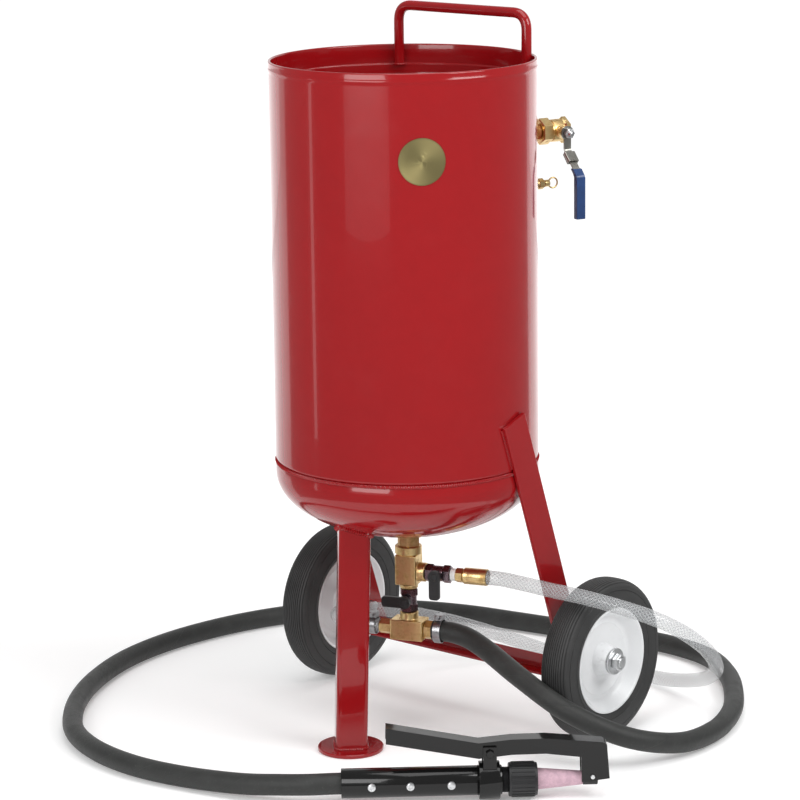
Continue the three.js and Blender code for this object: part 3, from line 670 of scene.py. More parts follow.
class Builder:
    """What every piece's operator shares."""

    bl_options = {"REGISTER", "UNDO"}


class BLASTER_OT_stage(Builder, bpy.types.Operator):
    """Set the camera, the pale floor and the soft studio light"""

    bl_idname = "blaster.stage"
    bl_label = "Stage"

    def execute(self, context):
        scene = context.scene
        look = scene.blaster_stage
        camera = bpy.data.objects.new("camera", bpy.data.cameras.new("camera"))
        scene.collection.objects.link(camera)
        scene.camera = camera
        camera.data.sensor_width = 36
        camera.data.lens = 141.07
        camera.data.shift_x = -0.00825
        turn, dip, roll = math.radians(40.448), math.radians(12.662), math.radians(-0.712)
        ahead = Vector((-math.sin(turn) * math.cos(dip), math.cos(turn) * math.cos(dip), -math.sin(dip)))
        right = Vector((math.cos(turn), math.sin(turn), 0))
        stand = placed((3.0567, -3.4426, 1.5843), -ahead, right)
        camera.matrix_world = stand @ Matrix.Rotation(roll, 4, "Z")
        camera.data.clip_end = 200

        scene.view_settings.view_transform = "Standard"
        world = bpy.data.worlds.new("surround")
        world.use_nodes = True
        background = world.node_tree.nodes["Background"]
        background.inputs["Color"].default_value = (1, 1, 1, 1)
        background.inputs["Strength"].default_value = look.surround
        scene.world = world

        paint = Finish("studio floor", specular=0.05)
        paint.put("Base Color", look.floor)
        paint.put("Roughness", 0.75)
        away = paint.node("ShaderNodeVectorMath", {"operation": "LENGTH"}, {0: paint.place()})
        glow = Number(paint, away.outputs["Value"]).above(0.2, 3.2)
        paint.put("Emission Color", paint.mix(glow, (0.22, 0.22, 0.22, 1), (0.74, 0.74, 0.74, 1)))
        paint.put("Emission Strength", 1.0)
        # A disc under the blaster, and a ring out to the horizon. Only the disc and the part of the ring
        # behind the blaster show in glossy surfaces.
        parts = 36
        corners = [direction(360 * i / parts) * far for far in (0.72, 80) for i in range(parts)]
        ring = [(i, (i + 1) % parts, parts + (i + 1) % parts, parts + i) for i in range(parts)]
        behind = ring[8:19]
        for name, faces, mirrored in (
            ("floor", [tuple(range(parts)), *behind], True),
            ("far floor", [face for face in ring if face not in behind], False),
        ):
            data = bpy.data.meshes.new(name)
            data.from_pydata(corners, [], faces)
            data.materials.append(paint.material)
            floor = bpy.data.objects.new(name, data)
            scene.collection.objects.link(floor)
            floor.location.z = -0.0004
            floor.visible_glossy = mirrored

        aim = Vector((0, 0.143, 0.55))
        # Each lamp's name, bearing and distance from the tank's axis, height, size and share of the power.
        for name, bearing, far, high, size, share in (
            ("backdrop", 133, 3.6, 1.5, (8.9, 3.0), 0.6),
            ("softbox", -81, 2.5, 1.35, (1.5, 1.2), 0.38),
            ("low card", -80, 2.5, 0.59, (1.7, 0.36), 0.013),
            ("low strip", -132, 2.5, 0.40, (0.14, 0.9), 0.008),
            ("right fill", 8, 2.6, 2.3, (1.6, 1.2), 0.6),
            ("top", -20, 0.6, 3.4, (2.4, 2.4), 0.62),
        ):
            lamp = bpy.data.lights.new(name, "AREA")
            lamp.shape = "RECTANGLE"
            lamp.size, lamp.size_y = size
            lamp.energy = look.lamps * share
            holder = bpy.data.objects.new(name, lamp)
            scene.collection.objects.link(holder)
            spot = AXIS + direction(bearing) * far + UP * high
            holder.location = spot
            holder.rotation_euler = (aim - spot).to_track_quat("-Z", "Y").to_euler()
            holder.visible_camera = False
        return {"FINISHED"}


class BLASTER_OT_hoses(Builder, bpy.types.Operator):
    """Lay the rubber blast hose and the clear air line"""

    bl_idname = "blaster.hoses"
    bl_label = "Hoses"

    def execute(self, context):
        line = smooth_route(BLAST_ROUTE, 0.006)
        shape = Shape()
        shape.tube(line, 0.016, sides=28)
        hose = shape.piece("blast_hose_cover", "tank", "hose", "blast_hose")
        measured = sum((b - a).length for a, b in zip(line, line[1:]))
        line = smooth_route(AIR_ROUTE, 0.005)
        shape = Shape()
        shape.tube(line, 0.0115, sides=24)
        shape.piece("air_line_braid", "tank", "clear", "air_line")
        return {"FINISHED"}


def dish(radius, depth, hole, steps):
    """Points on a quarter ellipse, from its rim to a hole round the axis."""
    turns = [math.acos(hole / radius) * i / steps for i in range(steps + 1)]
    return [(radius * math.cos(a), depth * math.sin(a)) for a in turns]


class BLASTER_OT_tank(Builder, bpy.types.Operator):
    """Build the pressure tank: shell, heads, filler, ports and weld beads"""

    bl_idname = "blaster.tank"
    bl_label = "Tank"

    def execute(self, context):
        sizes = context.scene.blaster_sizes
        steps = sizes.facets
        shell = Shape()
        lip = [(0.2008 + 0.0024 * math.cos(a), RIM_Z - 0.0024 + 0.0024 * math.sin(a))
               for a in (math.pi * i / 8 for i in range(9))]
        step = RIM_Z - 0.012
        shell.turn([
            (TANK_RADIUS - 0.0024, SEAM_Z - 0.0004), (TANK_RADIUS - 0.0008, SEAM_Z + 0.0010),
            (TANK_RADIUS, SEAM_Z + 0.004), (TANK_RADIUS, SEAM_Z + 0.007),
            (TANK_RADIUS, step - 0.0070), (TANK_RADIUS, step - 0.0040),
            (TANK_RADIUS + 0.0006, step - 0.0022), (TANK_RADIUS + 0.0011, step),
            (TANK_RADIUS + 0.0006, step + 0.0020), (TANK_RADIUS - 0.0002, step + 0.0036),
            *lip, (TANK_INNER, RIM_Z - 0.02), (TANK_INNER, SEAM_Z + 0.001),
        ], TANK, steps)
        # Welded bungs of the inlet and the relief valve.
        bungs = ((INLET_Z, 0.017, 0.0118, 0.015), (RELIEF_Z, 0.009, 0.0046, 0.008))
        for z, outer, bore, reach in bungs:
            shell.turn([
                (bore, 0.193), (outer, 0.193), (outer, TANK_RADIUS + reach - 0.001),
                (outer - 0.001, TANK_RADIUS + reach), (bore, TANK_RADIUS + reach),
            ], port_place(z), 64)
        shell.piece("shell_rolled", "tank", "red", "tank_shell")

        beads = Shape()
        weld = sizes.weld
        level = TANK @ Matrix.Translation((0, 0, SEAM_Z - 0.0035))
        bead(beads, circle(level, TANK_RADIUS - 0.0024, 180), weld * 1.15, loop=True)
        for z, outer, _, _ in bungs:
            ring = []
            for i in range(48):
                a = TAU * i / 48
                side, high = outer * math.cos(a), outer * math.sin(a)
                out = math.sqrt(TANK_RADIUS ** 2 - side ** 2)
                ring.append(AXIS + PORT * out + PORT_SIDE * side + UP * (z + high))
            bead(beads, ring, weld * 0.8, loop=True)
        seam = direction(205)
        foot = AXIS + seam * (TANK_RADIUS - 0.0012)
        bead(beads, [foot + UP * (SEAM_Z + 0.004 + 0.0076 * i) for i in range(80)], 0.0022)
        level = TANK @ Matrix.Translation((0, 0, 1.0221))
        bead(beads, circle(level, TANK_INNER - 0.0022, 160), 0.0021, loop=True)
        beads.piece("tank_weld_beads", "tank", "red")

        outer = [(r, HEAD_Z - d) for r, d in dish(TANK_RADIUS, HEAD_DEPTH, 0.023, 40)]
        inner = [(r, HEAD_Z - d) for r, d in dish(0.1984, 0.0952, 0.012, 24)]
        head = Shape()
        head.turn([
            (0.012, 0.312), (0.022, 0.312), (0.023, 0.313), *outer[::-1], (TANK_RADIUS, SEAM_Z - 0.008),
            (0.1981, SEAM_Z - 0.0006), (0.1981, SEAM_Z + 0.026), (0.1933, SEAM_Z + 0.026),
            (0.1933, SEAM_Z - 0.006), *inner,
        ], TANK, steps)
        head.piece("bottom_head_pressed", "tank", "red", "bottom_head")

        bowl = [(r, 1.012 - d) for r, d in dish(0.1933, 0.076, 0.030, 32)]
        under = [(r, 1.012 - d) for r, d in dish(0.1981, 0.0808, 0.040, 24)]
        seat = 0.9222
        top = Shape()
        top.turn([
            (0.030, seat), (0.040, seat), *under[::-1], (0.1981, 1.0215), (0.1976, 1.022),
            (0.1938, 1.022), (0.1933, 1.0215), *bowl,
        ], TANK, steps)
        top.piece("top_head_pressed", "tank", "red", "top_head")

        turned("filler_seal_ring", "tank", "seal", "filler_seal", TANK, [
            (37, 917.2), (38, 918.7), (38, 921.4), (37.5, 921.9), (29.5, 921.9), (29, 921.4), (29, 919.2),
            (32, 917.2),
        ])
        crown = 897.2
        cone = [(35 - 0.2 * i - 0.33 * i * i, crown - 5 + 1.17 * i) for i in range(12)]
        plunger = Shape()
        plunger.turn([(r / 1000, z / 1000) for r, z in [
            (13, crown - 38), (15.5, crown - 38), (15.5, crown - 16), (34.8, crown - 9.2),
            (35, crown - 9), *[p for p in cone if p[0] > 1 and p[1] < crown + 8.9],
            (0, crown + 9), (0, crown - 7), (13, crown - 10),
        ]], TANK, 72)
        plunger.piece("filler_plunger_cone", "plunger", "brass", "filler_plunger")
        pipe = Shape()
        knots = [(191.2, 923.5), (168, 923.5), (140, 903.5), (100, 847.5), (64, 823.5), (32, 819.5),
                 (9, 829.5), (0, 847.5), (0, 861.5), (0, 884.2)]
        route = [(r * PORT.x, r * PORT.y, z) for r, z in knots]
        pipe.tube(smooth_route(route, 0.006), 0.0112, 24)
        pipe.piece("inlet_standpipe_bent", "tank", "steel", "inlet_standpipe")
        return {"FINISHED"}


class BLASTER_OT_label(Builder, bpy.types.Operator):
    """Stick the round gold foil label on the shell"""

    bl_idname = "blaster.label"
    bl_label = "Gold label"

    def execute(self, context):
        label = Shape()
        centre = direction(-42)
        side = UP.cross(centre)
        middle = UP * 0.9245
        rows = []
        radii = [0.0001, 0.006, 0.012, 0.018, 0.024, 0.027, 0.0285, 0.030, 0.0315, 0.0335, 0.0348]
        for lift, spread in ((0.0010, radii), (0.0004, radii[::-1])):
            for r in spread:
                ring = []
                for i in range(96):
                    a = TAU * i / 96
                    bend = r * math.cos(a) / TANK_RADIUS
                    out = centre * math.cos(bend) + side * math.sin(bend)
                    ring.append(AXIS + out * (TANK_RADIUS + lift) + middle + UP * r * math.sin(a))
                rows.append((r, ring))
        skins = label.skin([ring for _, ring in rows])
        for (r, _), row in zip(rows, skins):
            for i, vertex in enumerate(row):
                vertex[label.run] = r
                vertex[label.round] = (math.cos(TAU * i / 96), math.sin(TAU * i / 96), 0)
        label.piece("round_label_foil", "tank", "foil", "round_label")
        return {"FINISHED"}


class BLASTER_OT_handle(Builder, bpy.types.Operator):
    """Bend the push handle and weld it to the top head's edge"""

    bl_idname = "blaster.handle"
    bl_label = "Push handle"

    def execute(self, context):
        half, top, corner, foot = 0.1265, 1.115, 0.026, 1.0223
        y = AXIS.y + 0.141
        line = [Vector((-half, y, foot)), Vector((-half, y, 1.05)), Vector((-half, y, 1.07))]
        for side in (-1, 1):
            turn = []
            for i in range(13):
                t = i / 12
                a = Vector((side * half, y, top - corner))
                b = Vector((side * half, y, top))
                c = Vector((side * (half - corner), y, top))
                turn.append(a * (1 - t) ** 2 + b * 2 * t * (1 - t) + c * t ** 2)
            line += turn if side < 0 else turn[::-1]
        line += [Vector((half, y, 1.07)), Vector((half, y, 1.05)), Vector((half, y, foot))]
        handle = Shape()
        handle.tube(line, 0.008, 28)
        for side in (-1, 1):
            place = Matrix.Translation((side * half, y, foot + 0.0004))
            bead(handle, circle(place, 0.0082, 36), context.scene.blaster_sizes.weld * 0.7, loop=True)
        handle.piece("push_handle_bent", "tank", "red", "push_handle")
        return {"FINISHED"}


class BLASTER_OT_legs(Builder, bpy.types.Operator):
    """Build the front leg, its foot, the rear legs and the cross-bar"""

    bl_idname = "blaster.legs"
    bl_label = "Legs"

    def execute(self, context):
        weld = context.scene.blaster_sizes.weld
        lean = math.radians(2.6)
        rise = Vector((0, math.sin(lean), math.cos(lean)))
        across = Vector((1, 0, 0))
        back = Vector((0, math.cos(lean), -math.sin(lean)))
        outline = [
            (across * (x - y) + back * (x + y)) / math.sqrt(2)
            for x, y in rounded_rectangle(0.049, 0.049, 0.008, 8)
        ]
        feet, tops = [], []
        for p in outline:
            low = p + rise * ((0.0063 - p.z) / rise.z)
            feet.append(low)
            t = 0.3
            for _ in range(12):
                at = p + rise * t
                off = (at - AXIS).to_2d().length
                dished = HEAD_Z - HEAD_DEPTH * math.sqrt(max(0, 1 - (off / TANK_RADIUS) ** 2))
                t += (dished - 0.0002 - at.z) / rise.z
            tops.append(p + rise * t)
        leg = Shape()
        leg.skin([feet, [a.lerp(b, 0.02) for a, b in zip(feet, tops)],
                  [a.lerp(b, 0.98) for a, b in zip(feet, tops)], tops])
        leg.piece("front_leg_tube", "tank", "red", "front_leg")
        beads = Shape()
        bead(beads, tops, weld * 1.7, loop=True)
        bead(beads, [p + UP * 0.0006 for p in feet], weld * 0.9, loop=True)
        slant = math.radians(19.5)
        slope = Vector((0, math.sin(slant), -math.cos(slant)))
        normal = Vector((0, math.cos(slant), math.sin(slant)))
        start = Vector((0, AXIS.y + 0.004, 0.521))
        for side in (-1, 1):
            for edge in (-0.0254, 0.0254):
                points = []
                for i in range(12):
                    p = start + normal * edge + slope * (0.003 + 0.0062 * i)
                    y = p.y - AXIS.y
                    points.append(Vector((side * math.sqrt(TANK_RADIUS ** 2 - y * y), p.y, p.z)))
                bead(beads, [p for p in points if p.z > SEAM_Z + 0.004], weld * 0.8)
            for z in (0.0865, 0.1085):
                bead(beads, [Vector((side * 0.2026, 0.262 + 0.004 * i, z)) for i in range(7)], weld * 0.7)
        beads.piece("leg_weld_beads", "tank", "red")
        turned("foot_disc", "tank", "red", "foot_plate", Matrix(), [
            (0.1, 0), (49.8, 0), (50.8, 1), (50.8, 5), (49.8, 6), (0.1, 6),
        ], steps=128)
        for node in ("rear_leg_left", "rear_leg_right"):
            keep(node, "red", 0.0009)
        keep("axle_crossbar", "red", 0.0008)
        return {"FINISHED"}


class BLASTER_OT_wheels(Builder, bpy.types.Operator):
    """Build both wheels: grooved tyres, pressed centres, bushes and stub axles"""

    bl_idname = "blaster.wheels"
    bl_label = "Wheels"

    def tyre(self, depth):
        """The tyre's cross-section, from its inner edge out and over the grooved tread."""
        def crown(z):
            return 0.1140 + 0.0129 * (1 - (z / 0.0249) ** 3) ** 0.5

        half = [(0.0833, 0.0200), (0.0845, 0.0224), (0.0880, 0.0243), (0.0920, 0.0247), (0.0928, 0.0238),
                (0.0936, 0.0247), (0.1040, 0.0250), (0.1100, 0.0249), (0.1108, 0.0239), (0.1116, 0.0248),
                (0.1150, 0.0247), (crown(0.0242), 0.0242), (crown(0.0232), 0.0232)]
        for i in range(5, -1, -1):
            z = 0.0019 + 0.0038 * i
            low = crown(z) - depth
            half += [(crown(z + 0.0009), z + 0.0009), (low, z + 0.0004), (low, z - 0.0004),
                     (crown(z - 0.0009), z - 0.0009)]
        return half + [(r, -z) for r, z in reversed(half)]

    def execute(self, context):
        depth = context.scene.blaster_sizes.groove
        face = [
            (83, 22.2), (82.2, 22.5), (80, 22.2), (78.5, 20.5), (70, 6.2), (68, 4.2), (65.5, 3.1), (64, 3),
            (58, 3), (57, 3.6), (56, 3), (30, 3), (27, 3.8), (24.5, 7.5), (22.5, 16), (21, 20.5),
            (20, 23.8), (19, 24), (13, 24),
        ]
        grooves = []
        for i in range(12):
            grooves += [(7.9, 29.7 + i), (7.2, 30.2 + i)]
        for name in ("left", "right"):
            body = f"wheel_{name}"
            place = placed(WHEEL_CENTRE[name], OUTWARD[name])
            tyre = Shape()
            tyre.turn(self.tyre(depth), place, 168)
            tyre.piece(f"tyre_{name}_grooved", body, "tyre", f"tyre_{name}", crease=30)

            turned(f"hub_{name}_pressed", body, "hub", f"hub_{name}", place, [
                *face, *[(r, -z) for r, z in reversed(face)],
            ], steps=128)
            turned(f"hub_bush_{name}_nylon", body, "nylon", f"hub_bush_{name}", place, [
                (8.2, -26), (12.2, -26), (12.7, -25.5), (12.7, 25.5), (12.2, 26), (8.2, 26),
            ], steps=48)

            turned(f"axle_stub_{name}_turned", "tank", "zinc", f"axle_stub_{name}", place, [
                (0.1, -72.5), (7.2, -72.5), (7.9, -71.7), (7.9, -56.7), (13, -56.7), (13, -27.5),
                (12.6, -27), (7.9, -27), *grooves, (7, 42), (0.1, 42),
            ], steps=48)
            turned(f"axle_washer_{name}_flat", "tank", "zinc", f"axle_washer_{name}", place, [
                (8.5, 27.1), (20.5, 27.1), (21, 27.4), (21, 29), (20.4, 29.5), (8.5, 29.5),
            ])
            turned(f"axle_nut_{name}_hex", "tank", "zinc", f"axle_nut_{name}", place, [
                (8.2, 30), (11.2, 30), (12, 31.2, 6), (12, 38.8, 6), (11.2, 40), (9, 40), (8.2, 39.2),
            ], crease=24)
        return {"FINISHED"}


def threads(start, end, outer, pitch=1.2, depth=0.6):
    """Points of a screw thread drawn as close rings, in millimetres."""
    points = []
    z = start
    while z + pitch <= end:
        points += [(outer - depth, z), (outer, z + pitch / 2)]
        z += pitch
    return [*points, (outer - depth, z)]


class BLASTER_OT_inlet(Builder, bpy.types.Operator):
    """Build the inlet ball valve, its lever and lock, and the relief valve"""

    bl_idname = "blaster.inlet"
    bl_label = "Inlet and relief valves"

    def execute(self, context):
        turned("inlet_nipple_threaded", "tank", "brass", "inlet_nipple", port_place(INLET_Z), [
            (9.5, 218.5), (12.5, 218.5), *threads(218.8, 236.5, 13), (9.5, 236.7),
        ], steps=60)

        flow = port_place(INLET_Z, 0.267)
        stem = placed(AXIS + UP * INLET_Z + PORT * 0.267, PORT_SIDE, PORT)
        body = Shape()
        body.lathe([
            (10, -30), (16.6, -30), (18, -28.6, 6), (18, -13.6, 6), (17.2, -12.2), (16, -11.4),
            (16, -9.8), (17.2, -9), (17.6, -5), (17.6, 5), (17.2, 8.6), (18, 10.8, 6), (18, 17.8, 6),
            (16.6, 19), (11.2, 19), (10.4, 18),
            *[(10 + 0.4 * (i % 2), 17.6 - 0.6 * i) for i in range(12)],
        ], flow, 72)
        body.lathe([
            (0.1, 0), (9.5, 1), (9.5, 21.5), (8.5, 22.5), (8.5, 23.5), (9.2, 24.2, 6), (9.2, 32.2, 6),
            (8.4, 33.2), (6.2, 34), (4.6, 34), (0.1, 33.9),
        ], stem, 72)
        body.piece("inlet_valve_body_cast", "tank", "brass", "inlet_valve_body", crease=24)
        keep("inlet_valve_ball", "zinc", crease=50)
        keep("inlet_valve_lever", "steel", 0.0005)
        keep("inlet_valve_grip", "vinyl", 0.0034, 40, 4)
        keep("inlet_valve_lock", "steel", 0.0006)
        nut = Shape()
        nut.lathe([
            (4.4, 38.3), (6.4, 38.3), (7, 39.2, 6), (7, 45.8, 6), (6.4, 46.6), (4.4, 46.8),
        ], stem, 72)
        nut.lathe([(0.1, 38), *threads(38.2, 49.7, 4.2, 1, 0.4), (0.1, 50)], stem, 32)
        nut.piece("inlet_valve_nut_hex", "inlet_lever", "zinc", "inlet_valve_nut", crease=24)

        start = 211.5
        turned("relief_valve_body_turned", "tank", "brass", "relief_valve_body", port_place(RELIEF_Z), [
            (3.4, start), (8.6, start), (9.5, start + 1, 6), (9.5, start + 11, 6), (8.8, start + 12.2),
            (7, start + 13), (7, start + 22), (7, start + 23.8), (7.5, start + 24.4, 6),
            (7.5, start + 32.2, 6), (7, start + 33), (6.2, start + 34), (3.4, start + 34),
        ], crease=24)
        pull = Shape()
        end = start + 34
        pull.lathe([
            (0.1, start + 4), (2.9, start + 4), (2.9, end + 1), (5, end + 1), (5.5, end + 1.6),
            (5.5, end + 9), (4.8, end + 10), (0.1, end + 10),
        ], port_place(RELIEF_Z), 40)
        ring = placed(AXIS + UP * RELIEF_Z + PORT * (end + 17) / 1000, PORT_SIDE, PORT)
        pull.tube(circle(ring, 0.008, 48), 0.0013, 12, loop=True)
        pull.piece("relief_pull_ring_split", "relief_ring", "brass", "relief_pull_ring")
        return {"FINISHED"}


def mini_valve(name, flow, stem, half):
    """A small plated ball valve: body here, ball and plastic lever from the frame."""
    body = Shape()
    body.lathe([
        (6, -half), (11.6, -half), (12.5, -half + 0.9, 6), (12.5, -half + 11.1, 6), (12, -half + 12),
        (12.1, -half + 13), (12.1, half - 13), (12, half - 12), (12.5, half - 11.1, 6),
        (12.5, half - 0.9, 6), (11.6, half), (6, half),
    ], flow, 72)
    body.lathe([(0.1, 1), (7, 1), (7, 15.5), (6.5, 16.6), (5, 17), (0.1, 17)], stem, 48)
    body.piece(f"{name}_valve_body_plated", "tank", "dark", f"{name}_valve_body", crease=24)
    keep(f"{name}_valve_ball", "zinc", crease=50)
    keep(f"{name}_valve_lever", "nylon", 0.0012, 30, 3)
    cap = Shape()
    cap.lathe([(0.1, 25.5), (6, 25.5), (6, 26.4), (5.2, 27.2), (0.1, 27.6)], stem, 32)
    cap.piece(f"{name}_lever_cap", f"{name}_lever", "nylon")


class BLASTER_OT_stack(Builder, bpy.types.Operator):
    """Build the mixing stack: nipple, tees, small valves, barbs, hose end and clamps"""

    bl_idname = "blaster.stack"
    bl_label = "Mixing stack"

    def execute(self, context):
        head = 311.7
        square = TANK @ Matrix.Rotation(math.radians(20), 4, "Z")
        turned("outlet_nipple_hex", "tank", "brass", "outlet_nipple", square, [
            (10, head - 30), (20, head - 30), (21, head - 29), (21, head - 17.8), (20.2, head - 17),
            (16, head - 16.8), (15.5, head - 16, 6), (15.5, head - 1.2, 6), (14.5, head), (10, head),
        ], crease=24)
        keep("air_tee", "brass", 0.0022, 32, 3)
        keep("mixing_tee", "brass", 0.0022, 32, 3)

        centre = AXIS + STACK * 0.0503 + UP * AIR_Z
        mini_valve("choke", placed(centre, STACK), placed(centre, STACK_SIDE), 20)
        centre = AXIS + UP * 0.207
        mini_valve("metering", placed(centre, UP, STACK), placed(centre, STACK_SIDE), 18.5)

        end = Shape()
        s = 79
        end.lathe([
            (6, 70.6), (8, 70.6), (8, s), (9.2, s), (10, s + 1, 6), (10, s + 11.2, 6), (9.2, s + 12.2),
            (8.6, s + 13), (12, s + 13.4), (12.8, s + 14.2), (12.9, s + 20), (12.7, s + 20.6),
            (12.9, s + 21.2), (13, s + 50), (12.6, s + 51), (11.7, s + 51), (11.7, s + 45), (6, s + 44),
        ], stack_place(AIR_Z), 72)
        end.piece("air_hose_end_crimped", "tank", "brass", "air_hose_end", crease=24)
        tape = Shape()
        wraps = [(9.5 + 0.3 * (i % 2), 70.8 + i) for i in range(9)]
        tape.lathe([(8.1, 70.8), *wraps, (8.1, 78.8)], stack_place(AIR_Z), 48)
        tape.piece("thread_tape", "tank", "tape")

        for name, low, high, across in (
            ("air_return_barb", -48, -27.3, 10.5), ("blast_hose_barb", 27.3, 40, 13),
        ):
            turned(f"{name}_hex", "tank", "brass", name, stack_place(MIX_Z), [
                (6, low), (across * WAIST, low), (across, low + 0.8, 6), (across, high - 0.8, 6),
                (across * WAIST, high), (6, high),
            ], crease=24)
        self.clamp("air_hose_clamp", 13.3, -66, -54)
        self.clamp("blast_hose_clamp", 17.8, 44, 56)
        return {"FINISHED"}

    def clamp(self, name, inner, low, high):
        """A worm-drive clamp: slotted band, screw housing on top and a hexagon screw."""
        place = stack_place(MIX_Z)
        clamp = Shape()
        clamp.lathe([
            (inner, low), (inner + 1, low), (inner + 1.2, low + 0.3), (inner + 1.2, high - 0.3),
            (inner + 1, high), (inner, high),
        ], place, 96)
        inner, middle, width = inner / 1000, (low + high) / 2000, (high - low) / 1000
        dent = [(-0.0003, -0.0031), (0.0003, -0.0031), (0.0003, 0.0031), (-0.0003, 0.0031)]
        for i in range(26):
            a = math.radians(50 + 10 * i)
            out = Vector((math.cos(a), math.sin(a), 0))
            around = Vector((-math.sin(a), math.cos(a), 0.35)).normalized()
            origin = place @ (out * (inner + 0.0011) + Vector((0, 0, middle)))
            slot = placed(origin, place.to_3x3() @ around, place.to_3x3() @ out)
            clamp.slab(dent, 0.0011, slot)
        top = AXIS + UP * (MIX_Z + inner + 0.0044) + STACK * middle
        housing = placed(top, STACK, UP)
        outline = [(-0.004, -0.0075), (0.0026, -0.0075), (0.004, -0.005), (0.004, 0.005),
                   (0.0026, 0.0075), (-0.004, 0.0075)]
        clamp.slab(outline, width + 0.001, housing)
        screw = placed(top + UP * 0.0006, STACK_SIDE, UP)
        clamp.lathe([
            (0.1, -12), (2.8, -12), (3.4, -11.4), (3.4, 7.8), (2.9, 8), (3.4, 8.6, 6), (3.4, 12.4, 6),
            (3.1, 13), (0.1, 13),
        ], screw, 48)
        clamp.piece(f"{name}_band", "tank", "clip", name, bevel=0.0002)


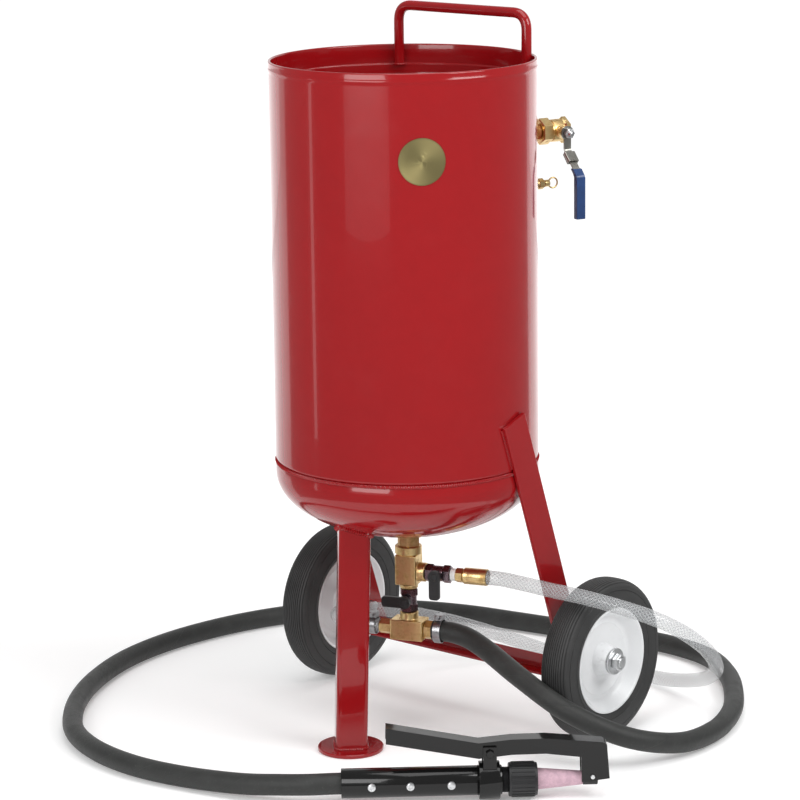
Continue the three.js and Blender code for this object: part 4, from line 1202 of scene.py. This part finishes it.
class BLASTER_OT_nozzle_handle(Builder, bpy.types.Operator):
    """Build the nozzle handle: tube, lever, spring, stopper, nut and ceramic nozzle"""

    bl_idname = "blaster.nozzle_handle"
    bl_label = "Nozzle handle"

    def execute(self, context):
        along = placed(GUN_START, GUN)
        turned("gun_tube_painted", "tank", "black", "gun_tube", along, [
            (18.5, 0.6), (19.2, 0), (21.4, 0), (22, 0.8), (22, 235.2), (21.4, 236), (19.2, 236),
            (18.5, 235.4),
        ], steps=96)
        screws = Shape()
        for s in (0.0444, 0.101, 0.161):
            place = placed(GUN_START + GUN * s + GUN_SIDE * 0.0216, GUN_SIDE, UP)
            screws.lathe([
                (0.1, -1), (6.3, -1), (6.3, 0.8), (5.6, 2.2), (4, 3.1), (3, 3.3, 6), (2.9, 2.2, 6),
                (0.1, 2.1),
            ], place, 48)
        screws.piece("gun_tube_screws", "tank", "zinc", crease=28)

        keep("gun_pivot_clamp", "black", 0.0008)
        keep("gun_lever", "black", 0.0009)
        pin = placed(GUN_START + GUN * 0.218 + UP * 0.046, GUN_SIDE, UP)
        turned("gun_pivot_bolt_hex", "tank", "black", "gun_pivot_bolt", pin, [
            (0.1, -23.4), (3.6, -23.4), (4, -23), (4, 18.4), (5.2, 18.4), (5.5, 18.8, 6), (5.5, 22.6, 6),
            (5.1, 23.4), (0.1, 23.4),
        ], steps=48, crease=24)

        wire = context.scene.blaster_sizes.wire
        coil = []
        for i in range(150):
            a = TAU * i / 24
            along_pin = -0.0068 + 0.0136 * i / 149
            coil.append(pin @ Vector((0.0072 * math.cos(a), 0.0072 * math.sin(a), along_pin)))
        spring = Shape()
        spring.tube(coil, wire / 2, 10)
        spring.piece("lever_spring_coil", "tank", "steel", "lever_spring")

        turned("stopper_pad_rubber", "trigger_lever", "seal", "stopper_pad", along, [
            (0.1, 355.3), (9.8, 355.3), (10.6, 356.1), (10.6, 376.2), (9.8, 377), (0.1, 377),
        ], steps=60)
        cross = placed(GUN_START + GUN * 0.369 + UP * 0.005, GUN_SIDE, UP)
        turned("stopper_pin_cross", "trigger_lever", "zinc", "stopper_pin", cross, [
            (0.1, -18), (1.6, -18), (2, -17.6), (2, 13.8), (3, 13.8), (3.4, 14.2), (3.4, 15), (2.8, 15.8),
            (0.1, 16),
        ], steps=36)

        turned("nozzle_holder_threaded", "tank", "nylon", "nozzle_holder", along, [
            (6, 236.3), (18.4, 236.3), (19, 236.8), *threads(237.2, 246, 19, 1.6, 0.7), (16, 250),
            (16, 262), (6, 262),
        ])
        nut = Shape()
        nut.lathe([
            (19.8, 246), (24.6, 246), (25.2, 246.6), (25.2, 250), (25, 284.6), (24, 287.6), (23.6, 288),
            (17, 288), (16.6, 287.6), (16.6, 262.6), (19.4, 262.6), (19.4, 246.5),
        ], along, 96)
        ridge = [(-0.0008, -0.0019), (0.0008, -0.0014), (0.0012, 0), (0.0008, 0.0014), (-0.0008, 0.0019)]
        for i in range(24):
            a = TAU * i / 24
            out = along.to_3x3() @ Vector((math.cos(a), math.sin(a), 0))
            rib = placed(GUN_START + GUN * 0.2668 + out * 0.0252, GUN, out)
            nut.slab(ridge, 0.0340, rib)
        nut.piece("nozzle_nut_ribbed", "tank", "nylon", "nozzle_nut", bevel=0.0003)
        turned("ceramic_nozzle_tapered", "tank", "ceramic", "ceramic_nozzle", along, [
            (8, 262.7), (15.6, 262.7), (15.8, 263.2), (15.8, 290), (13.2, 320), (10.8, 347.5),
            (10.2, 354), (9.2, 355), (3.8, 355), (3.2, 354.4), (3.2, 300),
        ], steps=96)
        return {"FINISHED"}


class BLASTER_PT_panel(bpy.types.Panel):
    """Lists the blaster's sizes, colours and build steps"""

    bl_idname = "BLASTER_PT_panel"
    bl_label = "Blaster"
    bl_space_type = "VIEW_3D"
    bl_region_type = "UI"
    bl_category = "Blaster"

    def draw(self, context):
        for group in (getattr(context.scene, name) for name in GROUPS):
            box = self.layout.box()
            for name in group.bl_rna.properties.keys():
                if name not in ("rna_type", "name"):
                    box.prop(group, name)
        column = self.layout.column(align=True)
        for operator in OPERATORS:
            column.operator(operator.bl_idname)


GROUPS = {
    "blaster_finish": BLASTER_PG_finish,
    "blaster_sizes": BLASTER_PG_sizes,
    "blaster_stage": BLASTER_PG_stage,
}
OPERATORS = (
    BLASTER_OT_stage, BLASTER_OT_hoses, BLASTER_OT_tank, BLASTER_OT_label, BLASTER_OT_handle,
    BLASTER_OT_legs, BLASTER_OT_wheels, BLASTER_OT_inlet, BLASTER_OT_stack, BLASTER_OT_nozzle_handle,
)


def register():
    for name, group in GROUPS.items():
        bpy.utils.register_class(group)
        setattr(bpy.types.Scene, name, bpy.props.PointerProperty(type=group))
    for made in (*OPERATORS, BLASTER_PT_panel):
        bpy.utils.register_class(made)


def unregister():
    for made in (BLASTER_PT_panel, *reversed(OPERATORS)):
        bpy.utils.unregister_class(made)
    for name, group in GROUPS.items():
        delattr(bpy.types.Scene, name)
        bpy.utils.unregister_class(group)


def main():
    register()
    for operator in OPERATORS:
        _, call = operator.bl_idname.split(".")
        getattr(bpy.ops.blaster, call)()


if __name__ == "__main__":
    main()
